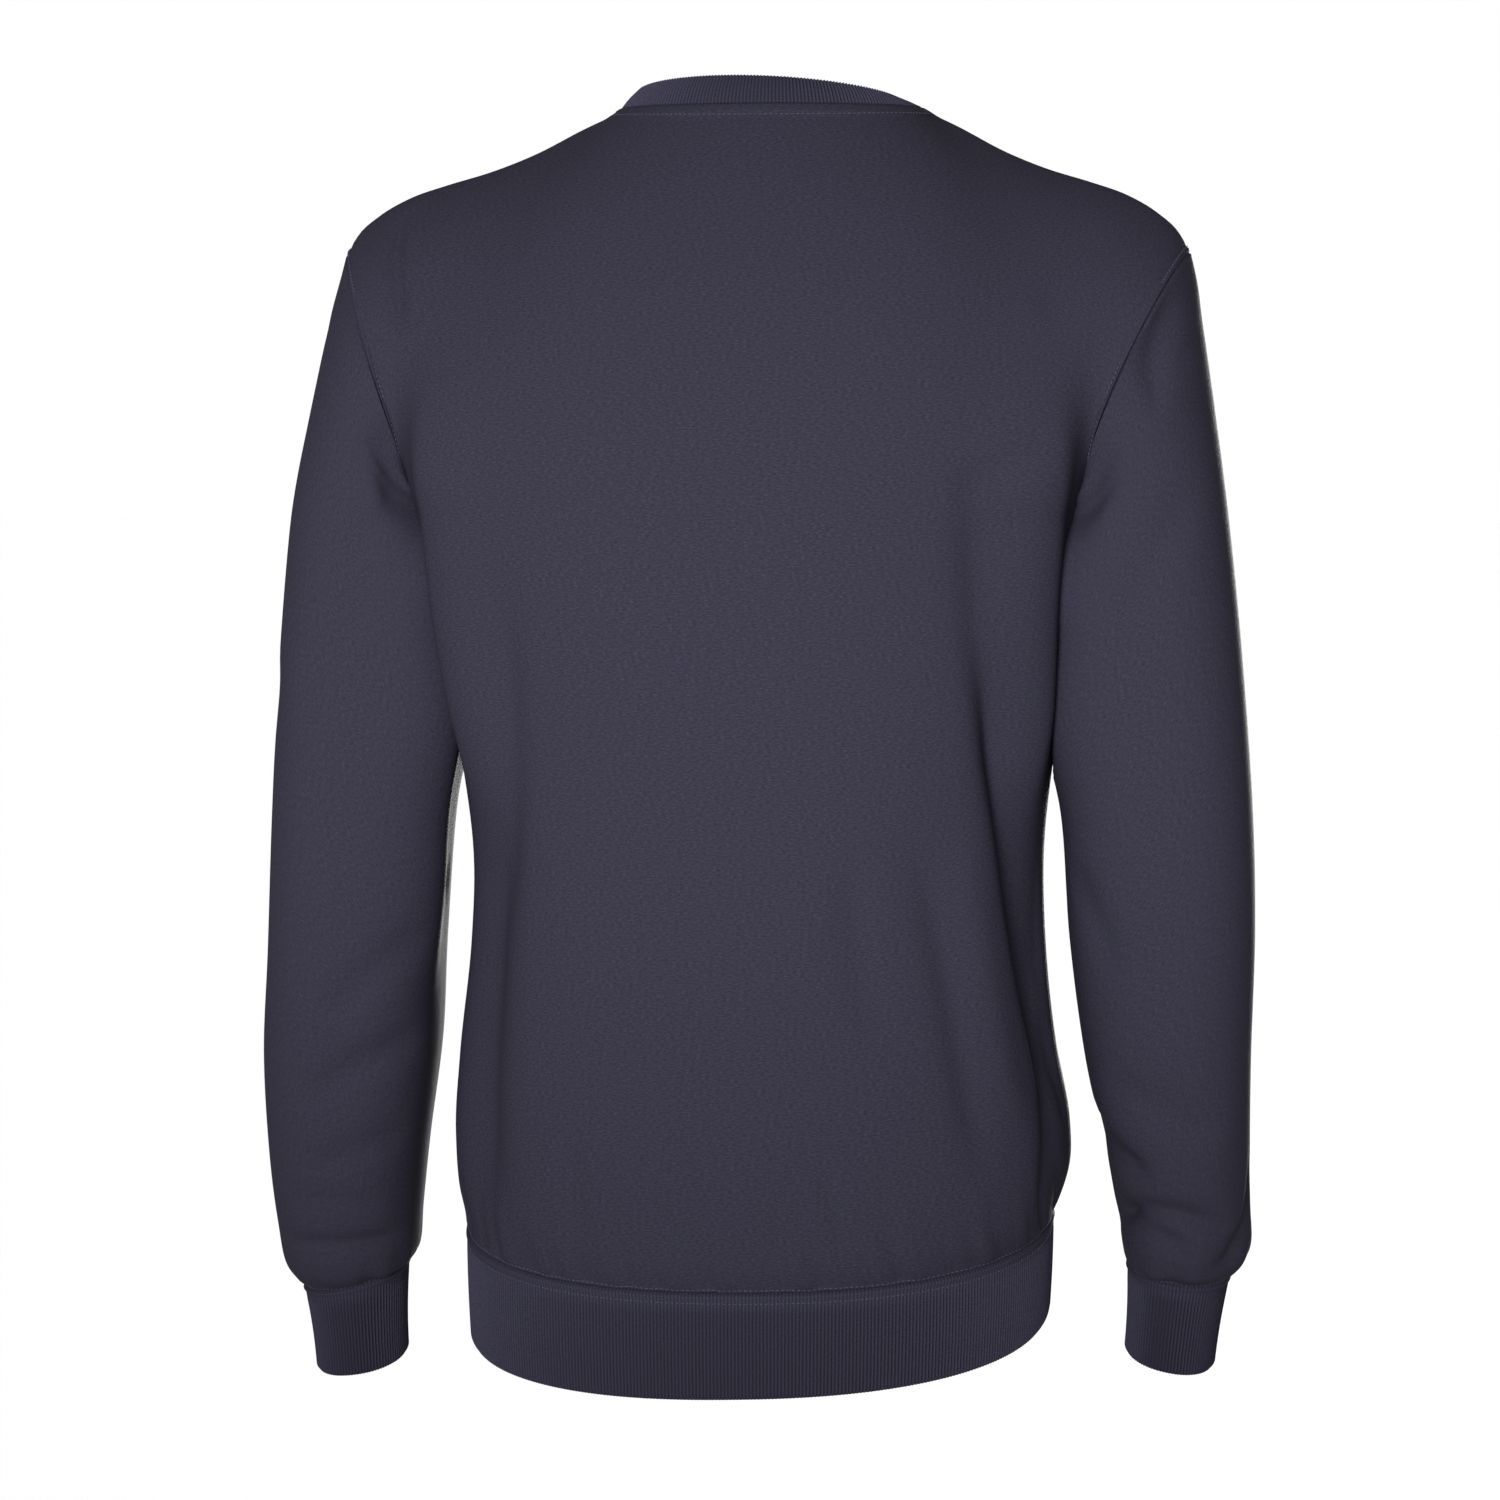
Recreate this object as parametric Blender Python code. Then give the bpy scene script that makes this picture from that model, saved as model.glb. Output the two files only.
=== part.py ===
"""Crew-neck sweatshirt, empty, in the round shape that it keeps when it is worn.

Sizes are metres. +Z is up, -Y is the front and +X is the wearer's left side. The origin lies
between the two points where the shoulder seams reach the neck, which is where it is held up.

Every piece is one wall of cloth: a grid of points half way through the cloth, an outer skin and
an inner skin on either side of it, and a rim round the open edges. Rows of a grid run up a panel
or along a sleeve, and its columns run across the panel or round the sleeve. Pieces that are sewn
together share the points of their seam, and each is then drawn back by half the seam gap.
"""

import math

import bpy
import numpy as np

# ------------------------------------------------------------------ driving sizes

CLOTH = 0.0020
BAND_CLOTH = 0.0026
SEAM_GAP = 0.00035
RIB_RISE = 0.0009

NECK_CENTRE = -0.0030
SHOULDER_CENTRE = 0.0012
HEM_BAND_HEIGHT = 0.0575
HEM_BAND_LEAN = 0.018
HEM_DRAWN_IN = 0.012
SIDE_CLEARANCE = 0.0034

SHOULDER_COLUMNS = 8
NECK_COLUMNS = 16
ARMHOLE_ROWS = 12
LAST_RING = 22
BAND_ROWS = 2

NECKBAND_SPLIT = 4
HEM_BAND_SPLIT = 3
CUFF_SPLIT = 2

PANEL_COLUMNS = 2 * SHOULDER_COLUMNS + NECK_COLUMNS
SLEEVE_COLUMNS = 2 * ARMHOLE_ROWS

BACK = 1
FRONT = -1
LEFT = 1
RIGHT = -1


def table(names, *rows):
    """Rows of numbers under named columns. The first column is the one that is looked up."""
    columns = dict(zip(names.split(), np.array(rows, dtype=float).T))
    columns["key"] = columns[names.split()[0]]
    return columns


# The torso from the hem seam up to the underarm. The drops say how far the middle of the back
# and of the front hang below the sides, and the lean how much lower the left side hangs.
TORSO = table(
    "height centre half_width back front fullness back_drop front_drop lean",
    (-0.600, 0.0034, 0.1592, 0.113, 0.108, 2.30, 0.0235, -0.004, 0.020),
    (-0.592, 0.0018, 0.1614, 0.117, 0.112, 2.32, 0.0230, -0.004, 0.020),
    (-0.575, 0.0012, 0.1660, 0.120, 0.115, 2.35, 0.0220, -0.004, 0.018),
    (-0.550, 0.0022, 0.1672, 0.119, 0.115, 2.38, 0.0190, -0.003, 0.014),
    (-0.511, 0.0048, 0.1627, 0.115, 0.113, 2.38, 0.0150, -0.002, 0.008),
    (-0.450, 0.0050, 0.1563, 0.110, 0.112, 2.38, 0.0080, 0.000, 0.003),
    (-0.400, 0.0048, 0.1549, 0.109, 0.113, 2.38, 0.0040, 0.000, 0.000),
    (-0.340, 0.0050, 0.1610, 0.112, 0.116, 2.40, 0.0010, 0.000, 0.000),
    (-0.263, 0.0090, 0.1725, 0.117, 0.119, 2.50, 0.0000, 0.000, 0.000),
    (-0.215, 0.0085, 0.1800, 0.119, 0.118, 2.60, 0.0000, 0.000, 0.000),
)
SIDE_HEIGHTS = (-0.600, -0.592, -0.578, -0.556, -0.525, -0.488, -0.450,
                -0.410, -0.367, -0.325, -0.285, -0.247, -0.215)
SIDE_ROWS = len(SIDE_HEIGHTS) - 1

# The shoulder seam, from the neck out to the armhole.
SHOULDER = table(
    "out height",
    (0.0805, -0.0005),
    (0.1000, -0.0095),
    (0.1250, -0.0225),
    (0.1500, -0.0325),
    (0.1750, -0.0400),
    (0.1950, -0.0470),
    (0.2120, -0.0570),
    (0.2220, -0.0660),
    (0.2285, -0.0765),
)

# The neckband's rings, from the seam to the folded top edge.
NECK = table(
    "ring half_width back front back_height side_height front_height lean",
    (0, 0.0805, 0.0580, 0.0980, 0.0005, -0.0005, -0.0860, 0.000),
    (1, 0.0765, 0.0552, 0.0928, 0.0085, 0.0020, -0.0760, 0.020),
    (2, 0.0712, 0.0510, 0.0860, 0.0155, 0.0042, -0.0660, 0.045),
)

# Each sleeve's rings, from the armhole to the cuff seam. The inner side faces the torso. Each
# ring is as deep from front to back as half_depth says, about a middle that lies at depth.
SLEEVE = {
    LEFT: table(
        "ring inner_out inner_height outer_out outer_height depth half_depth fullness",
        (0, 0.1885, -0.2150, 0.2297, -0.0765, 0.0000, 0.0700, 2.20),
        (1, 0.1918, -0.2197, 0.2342, -0.0940, -0.0010, 0.0692, 2.25),
        (2, 0.1900, -0.2280, 0.2379, -0.1130, -0.0020, 0.0680, 2.35),
        (4, 0.1770, -0.2480, 0.2483, -0.1620, -0.0040, 0.0660, 2.50),
        (6, 0.1670, -0.2790, 0.2594, -0.2220, -0.0060, 0.0630, 2.60),
        (8, 0.1640, -0.3240, 0.2672, -0.2950, -0.0080, 0.0600, 2.60),
        (10, 0.1762, -0.3780, 0.2732, -0.3780, -0.0120, 0.0580, 2.60),
        (12, 0.1830, -0.4515, 0.2783, -0.4525, -0.0190, 0.0550, 2.50),
        (14, 0.1880, -0.5130, 0.2848, -0.5140, -0.0320, 0.0510, 2.40),
        (16, 0.1980, -0.5700, 0.2864, -0.5720, -0.0480, 0.0470, 2.30),
        (18, 0.2048, -0.6120, 0.2853, -0.6150, -0.0620, 0.0430, 2.20),
        (20, 0.2090, -0.6370, 0.2820, -0.6430, -0.0720, 0.0385, 2.15),
        (21, 0.2127, -0.6420, 0.2768, -0.6520, -0.0750, 0.0340, 2.15),
        (22, 0.2162, -0.6441, 0.2737, -0.6575, -0.0770, 0.0305, 2.15),
    ),
    RIGHT: table(
        "ring inner_out inner_height outer_out outer_height depth half_depth fullness",
        (0, 0.1715, -0.2150, 0.2273, -0.0765, 0.0000, 0.0700, 2.20),
        (1, 0.1753, -0.2197, 0.2312, -0.0940, -0.0015, 0.0692, 2.25),
        (2, 0.1740, -0.2280, 0.2338, -0.1130, -0.0030, 0.0680, 2.35),
        (4, 0.1600, -0.2480, 0.2410, -0.1620, -0.0060, 0.0660, 2.50),
        (6, 0.1500, -0.2790, 0.2490, -0.2220, -0.0090, 0.0630, 2.60),
        (8, 0.1485, -0.3240, 0.2565, -0.2950, -0.0120, 0.0600, 2.60),
        (10, 0.1608, -0.3780, 0.2626, -0.3780, -0.0160, 0.0580, 2.60),
        (12, 0.1655, -0.4463, 0.2643, -0.4448, -0.0230, 0.0550, 2.50),
        (14, 0.1738, -0.5130, 0.2625, -0.5130, -0.0350, 0.0510, 2.40),
        (16, 0.1852, -0.5680, 0.2620, -0.5680, -0.0500, 0.0470, 2.30),
        (18, 0.1908, -0.6050, 0.2626, -0.6050, -0.0630, 0.0430, 2.20),
        (20, 0.1938, -0.6290, 0.2614, -0.6290, -0.0725, 0.0385, 2.15),
        (21, 0.1950, -0.6330, 0.2562, -0.6370, -0.0755, 0.0340, 2.15),
        (22, 0.1962, -0.6350, 0.2508, -0.6420, -0.0775, 0.0305, 2.15),
    ),
}
CUFF_FULLNESS = 2.15
CUFF_END = {
    LEFT: dict(inner=(0.2191, -0.7010), outer=(0.2684, -0.7085), depth=-0.0870, half_depth=0.0280),
    RIGHT: dict(inner=(0.1946, -0.6875), outer=(0.2419, -0.6965), depth=-0.0870, half_depth=0.0280),
}

# Creases. Each runs from one place to another, across from the middle of the piece towards the
# left side, or outwards on a sleeve, and up to a height. It bows to one side, reaches to its
# right and to its left as far as stated, and is as deep; a negative depth is a ridge.
CREASES = "across_1 height_1 across_2 height_2 bow right left depth"
BACK_CREASES = table(
    CREASES,
    (-0.112, -0.180, -0.126, -0.390, 0.004, 0.018, 0.018, 0.0030),
    (-0.130, -0.340, -0.172, -0.600, 0.004, 0.030, 0.018, 0.0095),
    (-0.194, -0.450, -0.206, -0.595, 0.000, 0.016, 0.016, -0.0050),
    (0.114, -0.230, 0.134, -0.470, -0.004, 0.016, 0.020, 0.0040),
    (0.138, -0.380, 0.136, -0.610, 0.002, 0.018, 0.028, 0.0080),
    (0.188, -0.430, 0.186, -0.600, 0.000, 0.016, 0.016, -0.0015),
    (-0.050, -0.400, -0.068, -0.520, 0.004, 0.012, 0.012, 0.0020),
    (-0.084, -0.390, -0.122, -0.575, -0.006, 0.014, 0.014, 0.0030),
    (-0.030, -0.565, -0.048, -0.605, 0.000, 0.010, 0.010, 0.0020),
)
FRONT_CREASES = table(
    CREASES,
    (0.120, -0.260, 0.150, -0.470, 0.008, 0.018, 0.018, 0.0035),
    (0.146, -0.430, 0.168, -0.580, -0.004, 0.018, 0.018, 0.0060),
    (-0.126, -0.250, -0.144, -0.430, -0.006, 0.018, 0.018, 0.0045),
    (-0.140, -0.400, -0.160, -0.570, 0.006, 0.017, 0.017, 0.0065),
    (0.050, -0.440, 0.076, -0.570, 0.006, 0.014, 0.014, 0.0025),
    (-0.028, -0.470, -0.040, -0.580, -0.004, 0.013, 0.013, 0.0025),
    (0.158, -0.130, 0.112, -0.200, 0.008, 0.013, 0.013, 0.0030),
    (-0.156, -0.126, -0.108, -0.196, -0.008, 0.013, 0.013, 0.0030),
)
SLEEVE_CREASES = {
    LEFT: table(
        CREASES,
        (0.030, -0.140, -0.018, -0.250, 0.004, 0.010, 0.010, 0.0022),
        (0.040, -0.210, -0.020, -0.310, 0.004, 0.011, 0.011, 0.0018),
        (-0.050, -0.470, 0.016, -0.520, 0.004, 0.010, 0.010, 0.0028),
        (-0.052, -0.520, 0.024, -0.560, 0.003, 0.010, 0.010, 0.0030),
        (-0.044, -0.618, 0.040, -0.624, -0.003, 0.008, 0.008, 0.0030),
        (0.060, -0.300, 0.110, -0.420, 0.004, 0.012, 0.012, 0.0025),
        (-0.080, -0.420, -0.150, -0.450, 0.004, 0.011, 0.011, 0.0035),
    ),
    RIGHT: table(
        CREASES,
        (0.012, -0.095, -0.004, -0.165, 0.002, 0.009, 0.009, 0.0030),
        (0.046, -0.190, -0.012, -0.290, -0.004, 0.011, 0.011, 0.0020),
        (-0.054, -0.480, 0.004, -0.535, 0.004, 0.011, 0.011, 0.0040),
        (-0.054, -0.530, 0.026, -0.560, 0.003, 0.010, 0.010, 0.0045),
        (-0.040, -0.590, 0.036, -0.600, -0.006, 0.008, 0.008, 0.0040),
        (0.006, -0.626, 0.034, -0.596, 0.002, 0.008, 0.008, 0.0030),
        (-0.080, -0.420, -0.150, -0.455, 0.004, 0.011, 0.011, 0.0035),
    ),
}

# How far the curves that join the chest to the shoulders reach before they turn, and how
# steeply they fall away from the shoulder seam, from the neckline and out past its corner.
CHEST_REACH = 0.38
SHOULDER_REACH = 0.42
NECK_REACH = 0.30
SHOULDER_FALL = 0.25
NECK_FALL = {BACK: 1.5, FRONT: 2.7}
OUTWARD_FALL = 0.46
CORNER_TURN = math.radians(48.0)
CORNER_COLUMNS = 8
ARMHOLE_START = (-0.003, 0.100, 0.030)
ARMHOLE_END = (-0.009, 0.072, -0.012)
ARMHOLE_BLEND = 10
CAP_RINGS = 6
CREASE_END = 0.3
EDGE_STEPS = 2.0
SOFTENING = 2
CURVE_STEPS = 240
SHARP_ANGLE = math.radians(50.0)


# ------------------------------------------------------------------ curves and grids

def follow(rows, column, where):
    """The named column at a place in the table's first column, along a smooth curve."""
    keys = rows["key"]
    values = rows[column]
    slopes = np.gradient(values, keys)
    place = int(np.clip(np.searchsorted(keys, where) - 1, 0, len(keys) - 2))
    step = keys[place + 1] - keys[place]
    t = (where - keys[place]) / step
    start = values[place] * (1 + 2 * t) * (1 - t) ** 2 + slopes[place] * step * t * (1 - t) ** 2
    end = values[place + 1] * t * t * (3 - 2 * t) + slopes[place + 1] * step * t * t * (t - 1)
    return start + end


def smooth(t):
    """Zero up to 0, one from 1 on, and a soft slope between."""
    t = np.clip(t, 0.0, 1.0)
    return t * t * (3.0 - 2.0 * t)


def unit(vectors):
    """Vectors of length one."""
    return vectors / np.linalg.norm(vectors, axis=-1, keepdims=True)


def even(points, steps):
    """Points at even distances along a line of points."""
    lengths = np.linalg.norm(np.diff(points, axis=0), axis=1)
    reach = np.concatenate([[0.0], np.cumsum(lengths)])
    where = np.linspace(0.0, reach[-1], steps + 1)
    return np.stack([np.interp(where, reach, points[:, axis]) for axis in range(3)], axis=1)


def rounded(angles, fullness):
    """Cosine and sine of the angles, pushed out from an ellipse towards a box."""
    power = 2.0 / fullness
    cosine = np.sign(np.cos(angles)) * np.abs(np.cos(angles)) ** power
    sine = np.sign(np.sin(angles)) * np.abs(np.sin(angles)) ** power
    return cosine, sine


def torso_half(height, side):
    """Half of the torso's ring at one height, from the left side seam to the right one."""
    value = {name: follow(TORSO, name, height) for name in TORSO}
    across, out = rounded(np.linspace(0.0, math.pi, CURVE_STEPS + 1), value["fullness"])
    depth = value["back"] if side == BACK else value["front"]
    drop = value["back_drop"] if side == BACK else value["front_drop"]
    ring = np.stack([
        value["centre"] + value["half_width"] * across,
        side * depth * out,
        height - drop * out - value["lean"] * value["half_width"] * across,
    ], axis=1)
    return even(ring, PANEL_COLUMNS)


def neck_half(ring, side):
    """Half of one ring round the neck, from its left side to its right side."""
    value = {name: follow(NECK, name, ring) for name in NECK}
    angles = np.linspace(0.0, math.pi, CURVE_STEPS + 1)
    across = np.cos(angles)
    out = np.sin(angles)
    depth = value["back"] if side == BACK else value["front"]
    middle = value["back_height"] if side == BACK else value["front_height"]
    half = np.stack([
        NECK_CENTRE + value["half_width"] * across,
        side * depth * out,
        value["side_height"] + (middle - value["side_height"]) * out
        + value["lean"] * value["half_width"] * across,
    ], axis=1)
    return even(half, NECK_COLUMNS)


def shoulder_line(hand):
    """The shoulder seam on one side, from the armhole in to the neck."""
    outs = np.linspace(SHOULDER["out"][-1], SHOULDER["out"][0], CURVE_STEPS + 1)
    heights = np.array([follow(SHOULDER, "height", out) for out in outs])
    near_neck = (outs[0] - outs) / (outs[0] - outs[-1])
    centre = SHOULDER_CENTRE + (NECK_CENTRE - SHOULDER_CENTRE) * near_neck
    line = np.stack([hand * outs + centre, 0.0 * outs, heights], axis=1)
    return even(line, SHOULDER_COLUMNS)


def top_line(side):
    """The panel's top edge: shoulder seam, neckline, shoulder seam."""
    left = shoulder_line(LEFT)
    right = shoulder_line(RIGHT)[::-1]
    return np.concatenate([left, neck_half(0, side)[1:-1], right])


def crease_depth(across, height, creases):
    """How far the creases draw each point of a grid inwards."""
    depth = np.zeros_like(height)
    for row in range(len(creases["key"])):
        crease = {name: creases[name][row] for name in CREASES.split()}
        run = np.array([crease["across_2"] - crease["across_1"],
                        crease["height_2"] - crease["height_1"]])
        length = math.hypot(*run)
        run = run / length
        off = np.stack([across - crease["across_1"], height - crease["height_1"]], axis=-1)
        along = off @ run / length
        aside = off @ np.array([-run[1], run[0]])
        aside = aside - crease["bow"] * 4.0 * along * (1.0 - along)
        ends = smooth(along / CREASE_END) * smooth((1.0 - along) / CREASE_END)
        reach = np.where(aside < 0.0, crease["right"], crease["left"])
        depth += crease["depth"] * ends * np.exp(-(aside / reach) ** 2)
    return depth


def normals_of(points, closed, outwards):
    """The direction out of the cloth at each point of a grid."""
    if closed:
        wrapped = np.concatenate([points[:, -1:], points, points[:, :1]], axis=1)
        across = np.gradient(wrapped, axis=1)[:, 1:-1]
    else:
        across = np.gradient(points, axis=1)
    along = np.gradient(points, axis=0)
    return unit(np.cross(across, along)) * outwards


def distance_across(points, middle):
    """Distance of each point along its row, from the column in the middle."""
    steps = np.linalg.norm(np.diff(points, axis=1), axis=2)
    reach = np.concatenate([np.zeros((len(points), 1)), np.cumsum(steps, axis=1)], axis=1)
    return reach - reach[:, middle:middle + 1]


# ------------------------------------------------------------------ pieces of cloth

class Cloth:
    """One piece: its grid of points, the directions out of it, and how its seams move it."""

    def __init__(self, name, points, closed, outwards, thickness=CLOTH):
        self.name = name
        self.points = points
        self.closed = closed
        self.outwards = outwards
        self.thickness = thickness
        self.refresh()

    def refresh(self):
        self.normals = normals_of(self.points, self.closed, self.outwards)
        self.shift = np.zeros_like(self.points)

    def crease(self, creases, across):
        """Press the creases in, fading to nothing at the open edges."""
        rows, columns = across.shape
        from_end = np.minimum(np.arange(rows), rows - 1 - np.arange(rows))
        keep = smooth(from_end / EDGE_STEPS)[:, None]
        if not self.closed:
            from_side = np.minimum(np.arange(columns), columns - 1 - np.arange(columns))
            keep = keep * smooth(from_side / EDGE_STEPS)[None, :]
        depth = crease_depth(across, self.points[..., 2], creases) * keep
        self.points = self.points - self.normals * depth[..., None]
        self.refresh()


def body_panel(name, side, creases):
    """Back or front: rings up to the underarm, then curves over the chest to the shoulders."""
    lower = np.stack([torso_half(height, side) for height in SIDE_HEIGHTS])
    top = top_line(side)
    start = lower[-1]
    span = np.linalg.norm(top - start, axis=1)[:, None]
    column = np.arange(PANEL_COLUMNS + 1)

    start_handle = unit(lower[-1] - lower[-2]) * span * CHEST_REACH
    from_edge = np.minimum(column, PANEL_COLUMNS - column)
    over_neck = smooth((from_edge - SHOULDER_COLUMNS) / CORNER_COLUMNS)
    over_shoulder = smooth((SHOULDER_COLUMNS - from_edge) / CORNER_COLUMNS)
    turned = CORNER_TURN * (1.0 - over_neck) * (1.0 - over_shoulder)
    fall = SHOULDER_FALL + (NECK_FALL[side] - SHOULDER_FALL) * over_neck
    reach = SHOULDER_REACH + (NECK_REACH - SHOULDER_REACH) * over_neck
    outwards = np.sign(PANEL_COLUMNS / 2 - column) * np.sin(turned)
    away = side * np.cos(turned)
    down = fall * np.cos(turned) + OUTWARD_FALL * np.sin(turned)
    end_handle = unit(np.stack([outwards, away, -down], axis=1)) * reach[:, None] * span

    for hand, steps in ((LEFT, column), (RIGHT, PANEL_COLUMNS - column)):
        near = np.clip(1.0 - steps / ARMHOLE_BLEND, 0.0, 1.0)[:, None] ** 2
        mirror = np.array([hand, side, 1.0])
        start_handle = start_handle * (1.0 - near) + np.array(ARMHOLE_START) * mirror * near
        end_handle = end_handle * (1.0 - near) + np.array(ARMHOLE_END) * mirror * near

    t = (np.arange(1, ARMHOLE_ROWS + 1) / ARMHOLE_ROWS)[:, None, None]
    upper = (start * (1 - t) ** 3 + (start + start_handle) * 3 * t * (1 - t) ** 2
             + (top + end_handle) * 3 * t * t * (1 - t) + top * t ** 3)
    panel = Cloth(name, np.concatenate([lower, upper]), False, side)
    panel.crease(creases, -distance_across(panel.points, PANEL_COLUMNS // 2))
    return panel


def arm_ring(hand, inner, outer, depth, half_depth, fullness, tangent):
    """One ring round an arm, starting at its inner side and going round by the back."""
    angles = np.linspace(0.0, 2.0 * math.pi, SLEEVE_COLUMNS, endpoint=False)
    across, out = rounded(angles, fullness)
    inner = np.array([hand * inner[0], depth, inner[1]])
    outer = np.array([hand * outer[0], depth, outer[1]])
    half_width = (inner - outer) / 2.0
    backwards = unit(np.cross(half_width, tangent))
    backwards = backwards * np.sign(backwards[1])
    middle = (inner + outer) / 2.0
    return middle + np.outer(across, half_width) + np.outer(out, backwards * half_depth)


def clear_of_torso(points):
    """Push the points of a sleeve out of the torso's side, so that it lies just beside it."""
    cleared = points.copy()
    for place in np.ndindex(points.shape[:2]):
        x, y, height = points[place]
        if height > TORSO["key"][-1]:
            continue
        value = {name: follow(TORSO, name, max(height, TORSO["key"][0])) for name in TORSO}
        depth = (value["back"] if y > 0.0 else value["front"]) + SIDE_CLEARANCE
        width = value["half_width"] + SIDE_CLEARANCE
        power = value["fullness"]
        reach = (abs(x - value["centre"]) / width) ** power + (abs(y) / depth) ** power
        push = max(1.0, reach ** (-1.0 / power))
        cleared[place] = (value["centre"] + (x - value["centre"]) * push, y * push, height)
    return cleared


def sleeve(name, hand, armhole, creases):
    """A sleeve from the armhole's own points to the cuff seam."""
    shape = SLEEVE[hand]
    rings = []
    values = []
    middles = []
    for ring in range(LAST_RING + 1):
        value = {column: follow(shape, column, ring) for column in shape}
        out = (value["inner_out"] + value["outer_out"]) / 2.0
        height = (value["inner_height"] + value["outer_height"]) / 2.0
        middles.append((hand * out, value["depth"], height))
        values.append(value)
    tangents = unit(np.gradient(np.array(middles), axis=0))
    for value, tangent in zip(values, tangents):
        inner = (value["inner_out"], value["inner_height"])
        outer = (value["outer_out"], value["outer_height"])
        rings.append(arm_ring(hand, inner, outer, value["depth"], value["half_depth"],
                              value["fullness"], tangent))
    points = np.array(rings)
    fade = (1.0 - smooth(np.arange(LAST_RING + 1) / CAP_RINGS))[:, None, None]
    points = clear_of_torso(points + (armhole - points[0]) * fade)
    points[0] = armhole
    cloth = Cloth(name, points, True, hand)
    cloth.crease(creases, distance_across(points, ARMHOLE_ROWS // 2))
    return cloth


def hem_band(ring):
    """The ribbed band below the body, from the seam to the hem."""
    rows = [ring]
    for row in range(1, BAND_ROWS + 1):
        share = row / BAND_ROWS
        drawn_in = 1.0 - HEM_DRAWN_IN * share * share
        level = ring * np.array([drawn_in, drawn_in, 1.0])
        level[:, 2] -= (HEM_BAND_HEIGHT + HEM_BAND_LEAN * ring[:, 0]) * share
        rows.append(level)
    return Cloth("hem_band", np.array(rows), True, -1, BAND_CLOTH)


def cuff(name, hand, ring):
    """A ribbed cuff, from the sleeve's last ring to its open end."""
    end = CUFF_END[hand]
    first_middle = ring.mean(axis=0)
    out, height = (np.array(end["inner"]) + np.array(end["outer"])) / 2.0
    last_middle = np.array([hand * out, end["depth"], height])
    last = arm_ring(hand, end["inner"], end["outer"], end["depth"], end["half_depth"],
                    CUFF_FULLNESS, last_middle - first_middle)
    rows = []
    for row in range(BAND_ROWS + 1):
        share = row / BAND_ROWS
        narrowed = 1.0 - (1.0 - share) ** 2
        middle = first_middle + (last_middle - first_middle) * share
        shape = (ring - first_middle) * (1.0 - narrowed) + (last - last_middle) * narrowed
        rows.append(middle + shape)
    return Cloth(name, np.array(rows), True, hand, BAND_CLOTH)


def neckband():
    """The ribbed band round the neck: back half, then front half."""
    rows = []
    for ring in range(BAND_ROWS + 1):
        back = neck_half(ring, BACK)
        front = neck_half(ring, FRONT)[::-1]
        rows.append(np.concatenate([back[:-1], front[:-1]]))
    return Cloth("neckband", np.array(rows), True, 1, BAND_CLOTH)


# ------------------------------------------------------------------ seams

def edge(piece, places, inwards):
    """One side of a seam: the piece, its points along the seam, and the step into the piece."""
    return dict(piece=piece, places=places, inwards=inwards)


def share_normals(seams):
    """Give all the points that lie at one place on a seam the same direction out."""
    totals = {}
    for seam in seams:
        for side in seam["edges"]:
            for place in side["places"]:
                key = (side["piece"].name, place)
                spot = tuple(np.round(side["piece"].points[place], 6))
                totals.setdefault(spot, {})[key] = side["piece"].normals[place].copy()
    for seam in seams:
        for side in seam["edges"]:
            for place in side["places"]:
                spot = tuple(np.round(side["piece"].points[place], 6))
                total = np.sum(list(totals[spot].values()), axis=0)
                side["piece"].normals[place] = unit(total)


def soften_ring(piece, seams):
    """Let the directions out turn gently along a piece's first ring, on both sides of its seam."""
    ring = piece.normals[0]
    for _ in range(SOFTENING):
        ring = unit(np.roll(ring, 1, axis=0) + 2.0 * ring + np.roll(ring, -1, axis=0))
    piece.normals[0] = ring
    for seam in seams:
        panel, own = seam["edges"]
        if own["piece"] is piece:
            for place, own_place in zip(panel["places"], own["places"]):
                panel["piece"].normals[place] = piece.normals[own_place]


def part_seam(seam):
    """Draw both sides of a seam back along the cloth by half the gap."""
    first = seam["edges"][0]
    line = np.array([first["piece"].points[place] for place in first["places"]])
    if seam["closed"]:
        tangents = np.gradient(np.concatenate([line[-1:], line, line[:1]]), axis=0)[1:-1]
    else:
        tangents = np.gradient(line, axis=0)
    normals = np.array([first["piece"].normals[place] for place in first["places"]])
    aside = unit(np.cross(normals, tangents))
    for side in seam["edges"]:
        piece = side["piece"]
        down, along = side["inwards"]
        inside = np.array([piece.points[row + down, column + along]
                           for row, column in side["places"]])
        towards = np.sign(np.sum((inside - line) * aside))
        for place, step in zip(side["places"], aside):
            piece.shift[place] += step * towards * SEAM_GAP / 2.0


def column_places(column, first, last):
    """Places up one column of a grid."""
    return [(row, column) for row in range(first, last + 1)]


def row_places(row, columns):
    """Places along one row of a grid."""
    return [(row, column) for column in columns]


def seam_of(first, second, closed=False):
    """A seam between two edges."""
    return dict(edges=[first, second], closed=closed)


def body_seams(back, front):
    """The two side seams and the two shoulder seams."""
    seams = []
    top = SIDE_ROWS + ARMHOLE_ROWS
    for column, inwards in ((0, 1), (PANEL_COLUMNS, -1)):
        places = column_places(column, 0, SIDE_ROWS)
        step_in = (0, inwards)
        seams.append(seam_of(edge(back, places, step_in), edge(front, places, step_in)))
    for first in (0, PANEL_COLUMNS - SHOULDER_COLUMNS):
        places = row_places(top, range(first, first + SHOULDER_COLUMNS + 1))
        seams.append(seam_of(edge(back, places, (-1, 0)), edge(front, places, (-1, 0))))
    return seams


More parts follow.
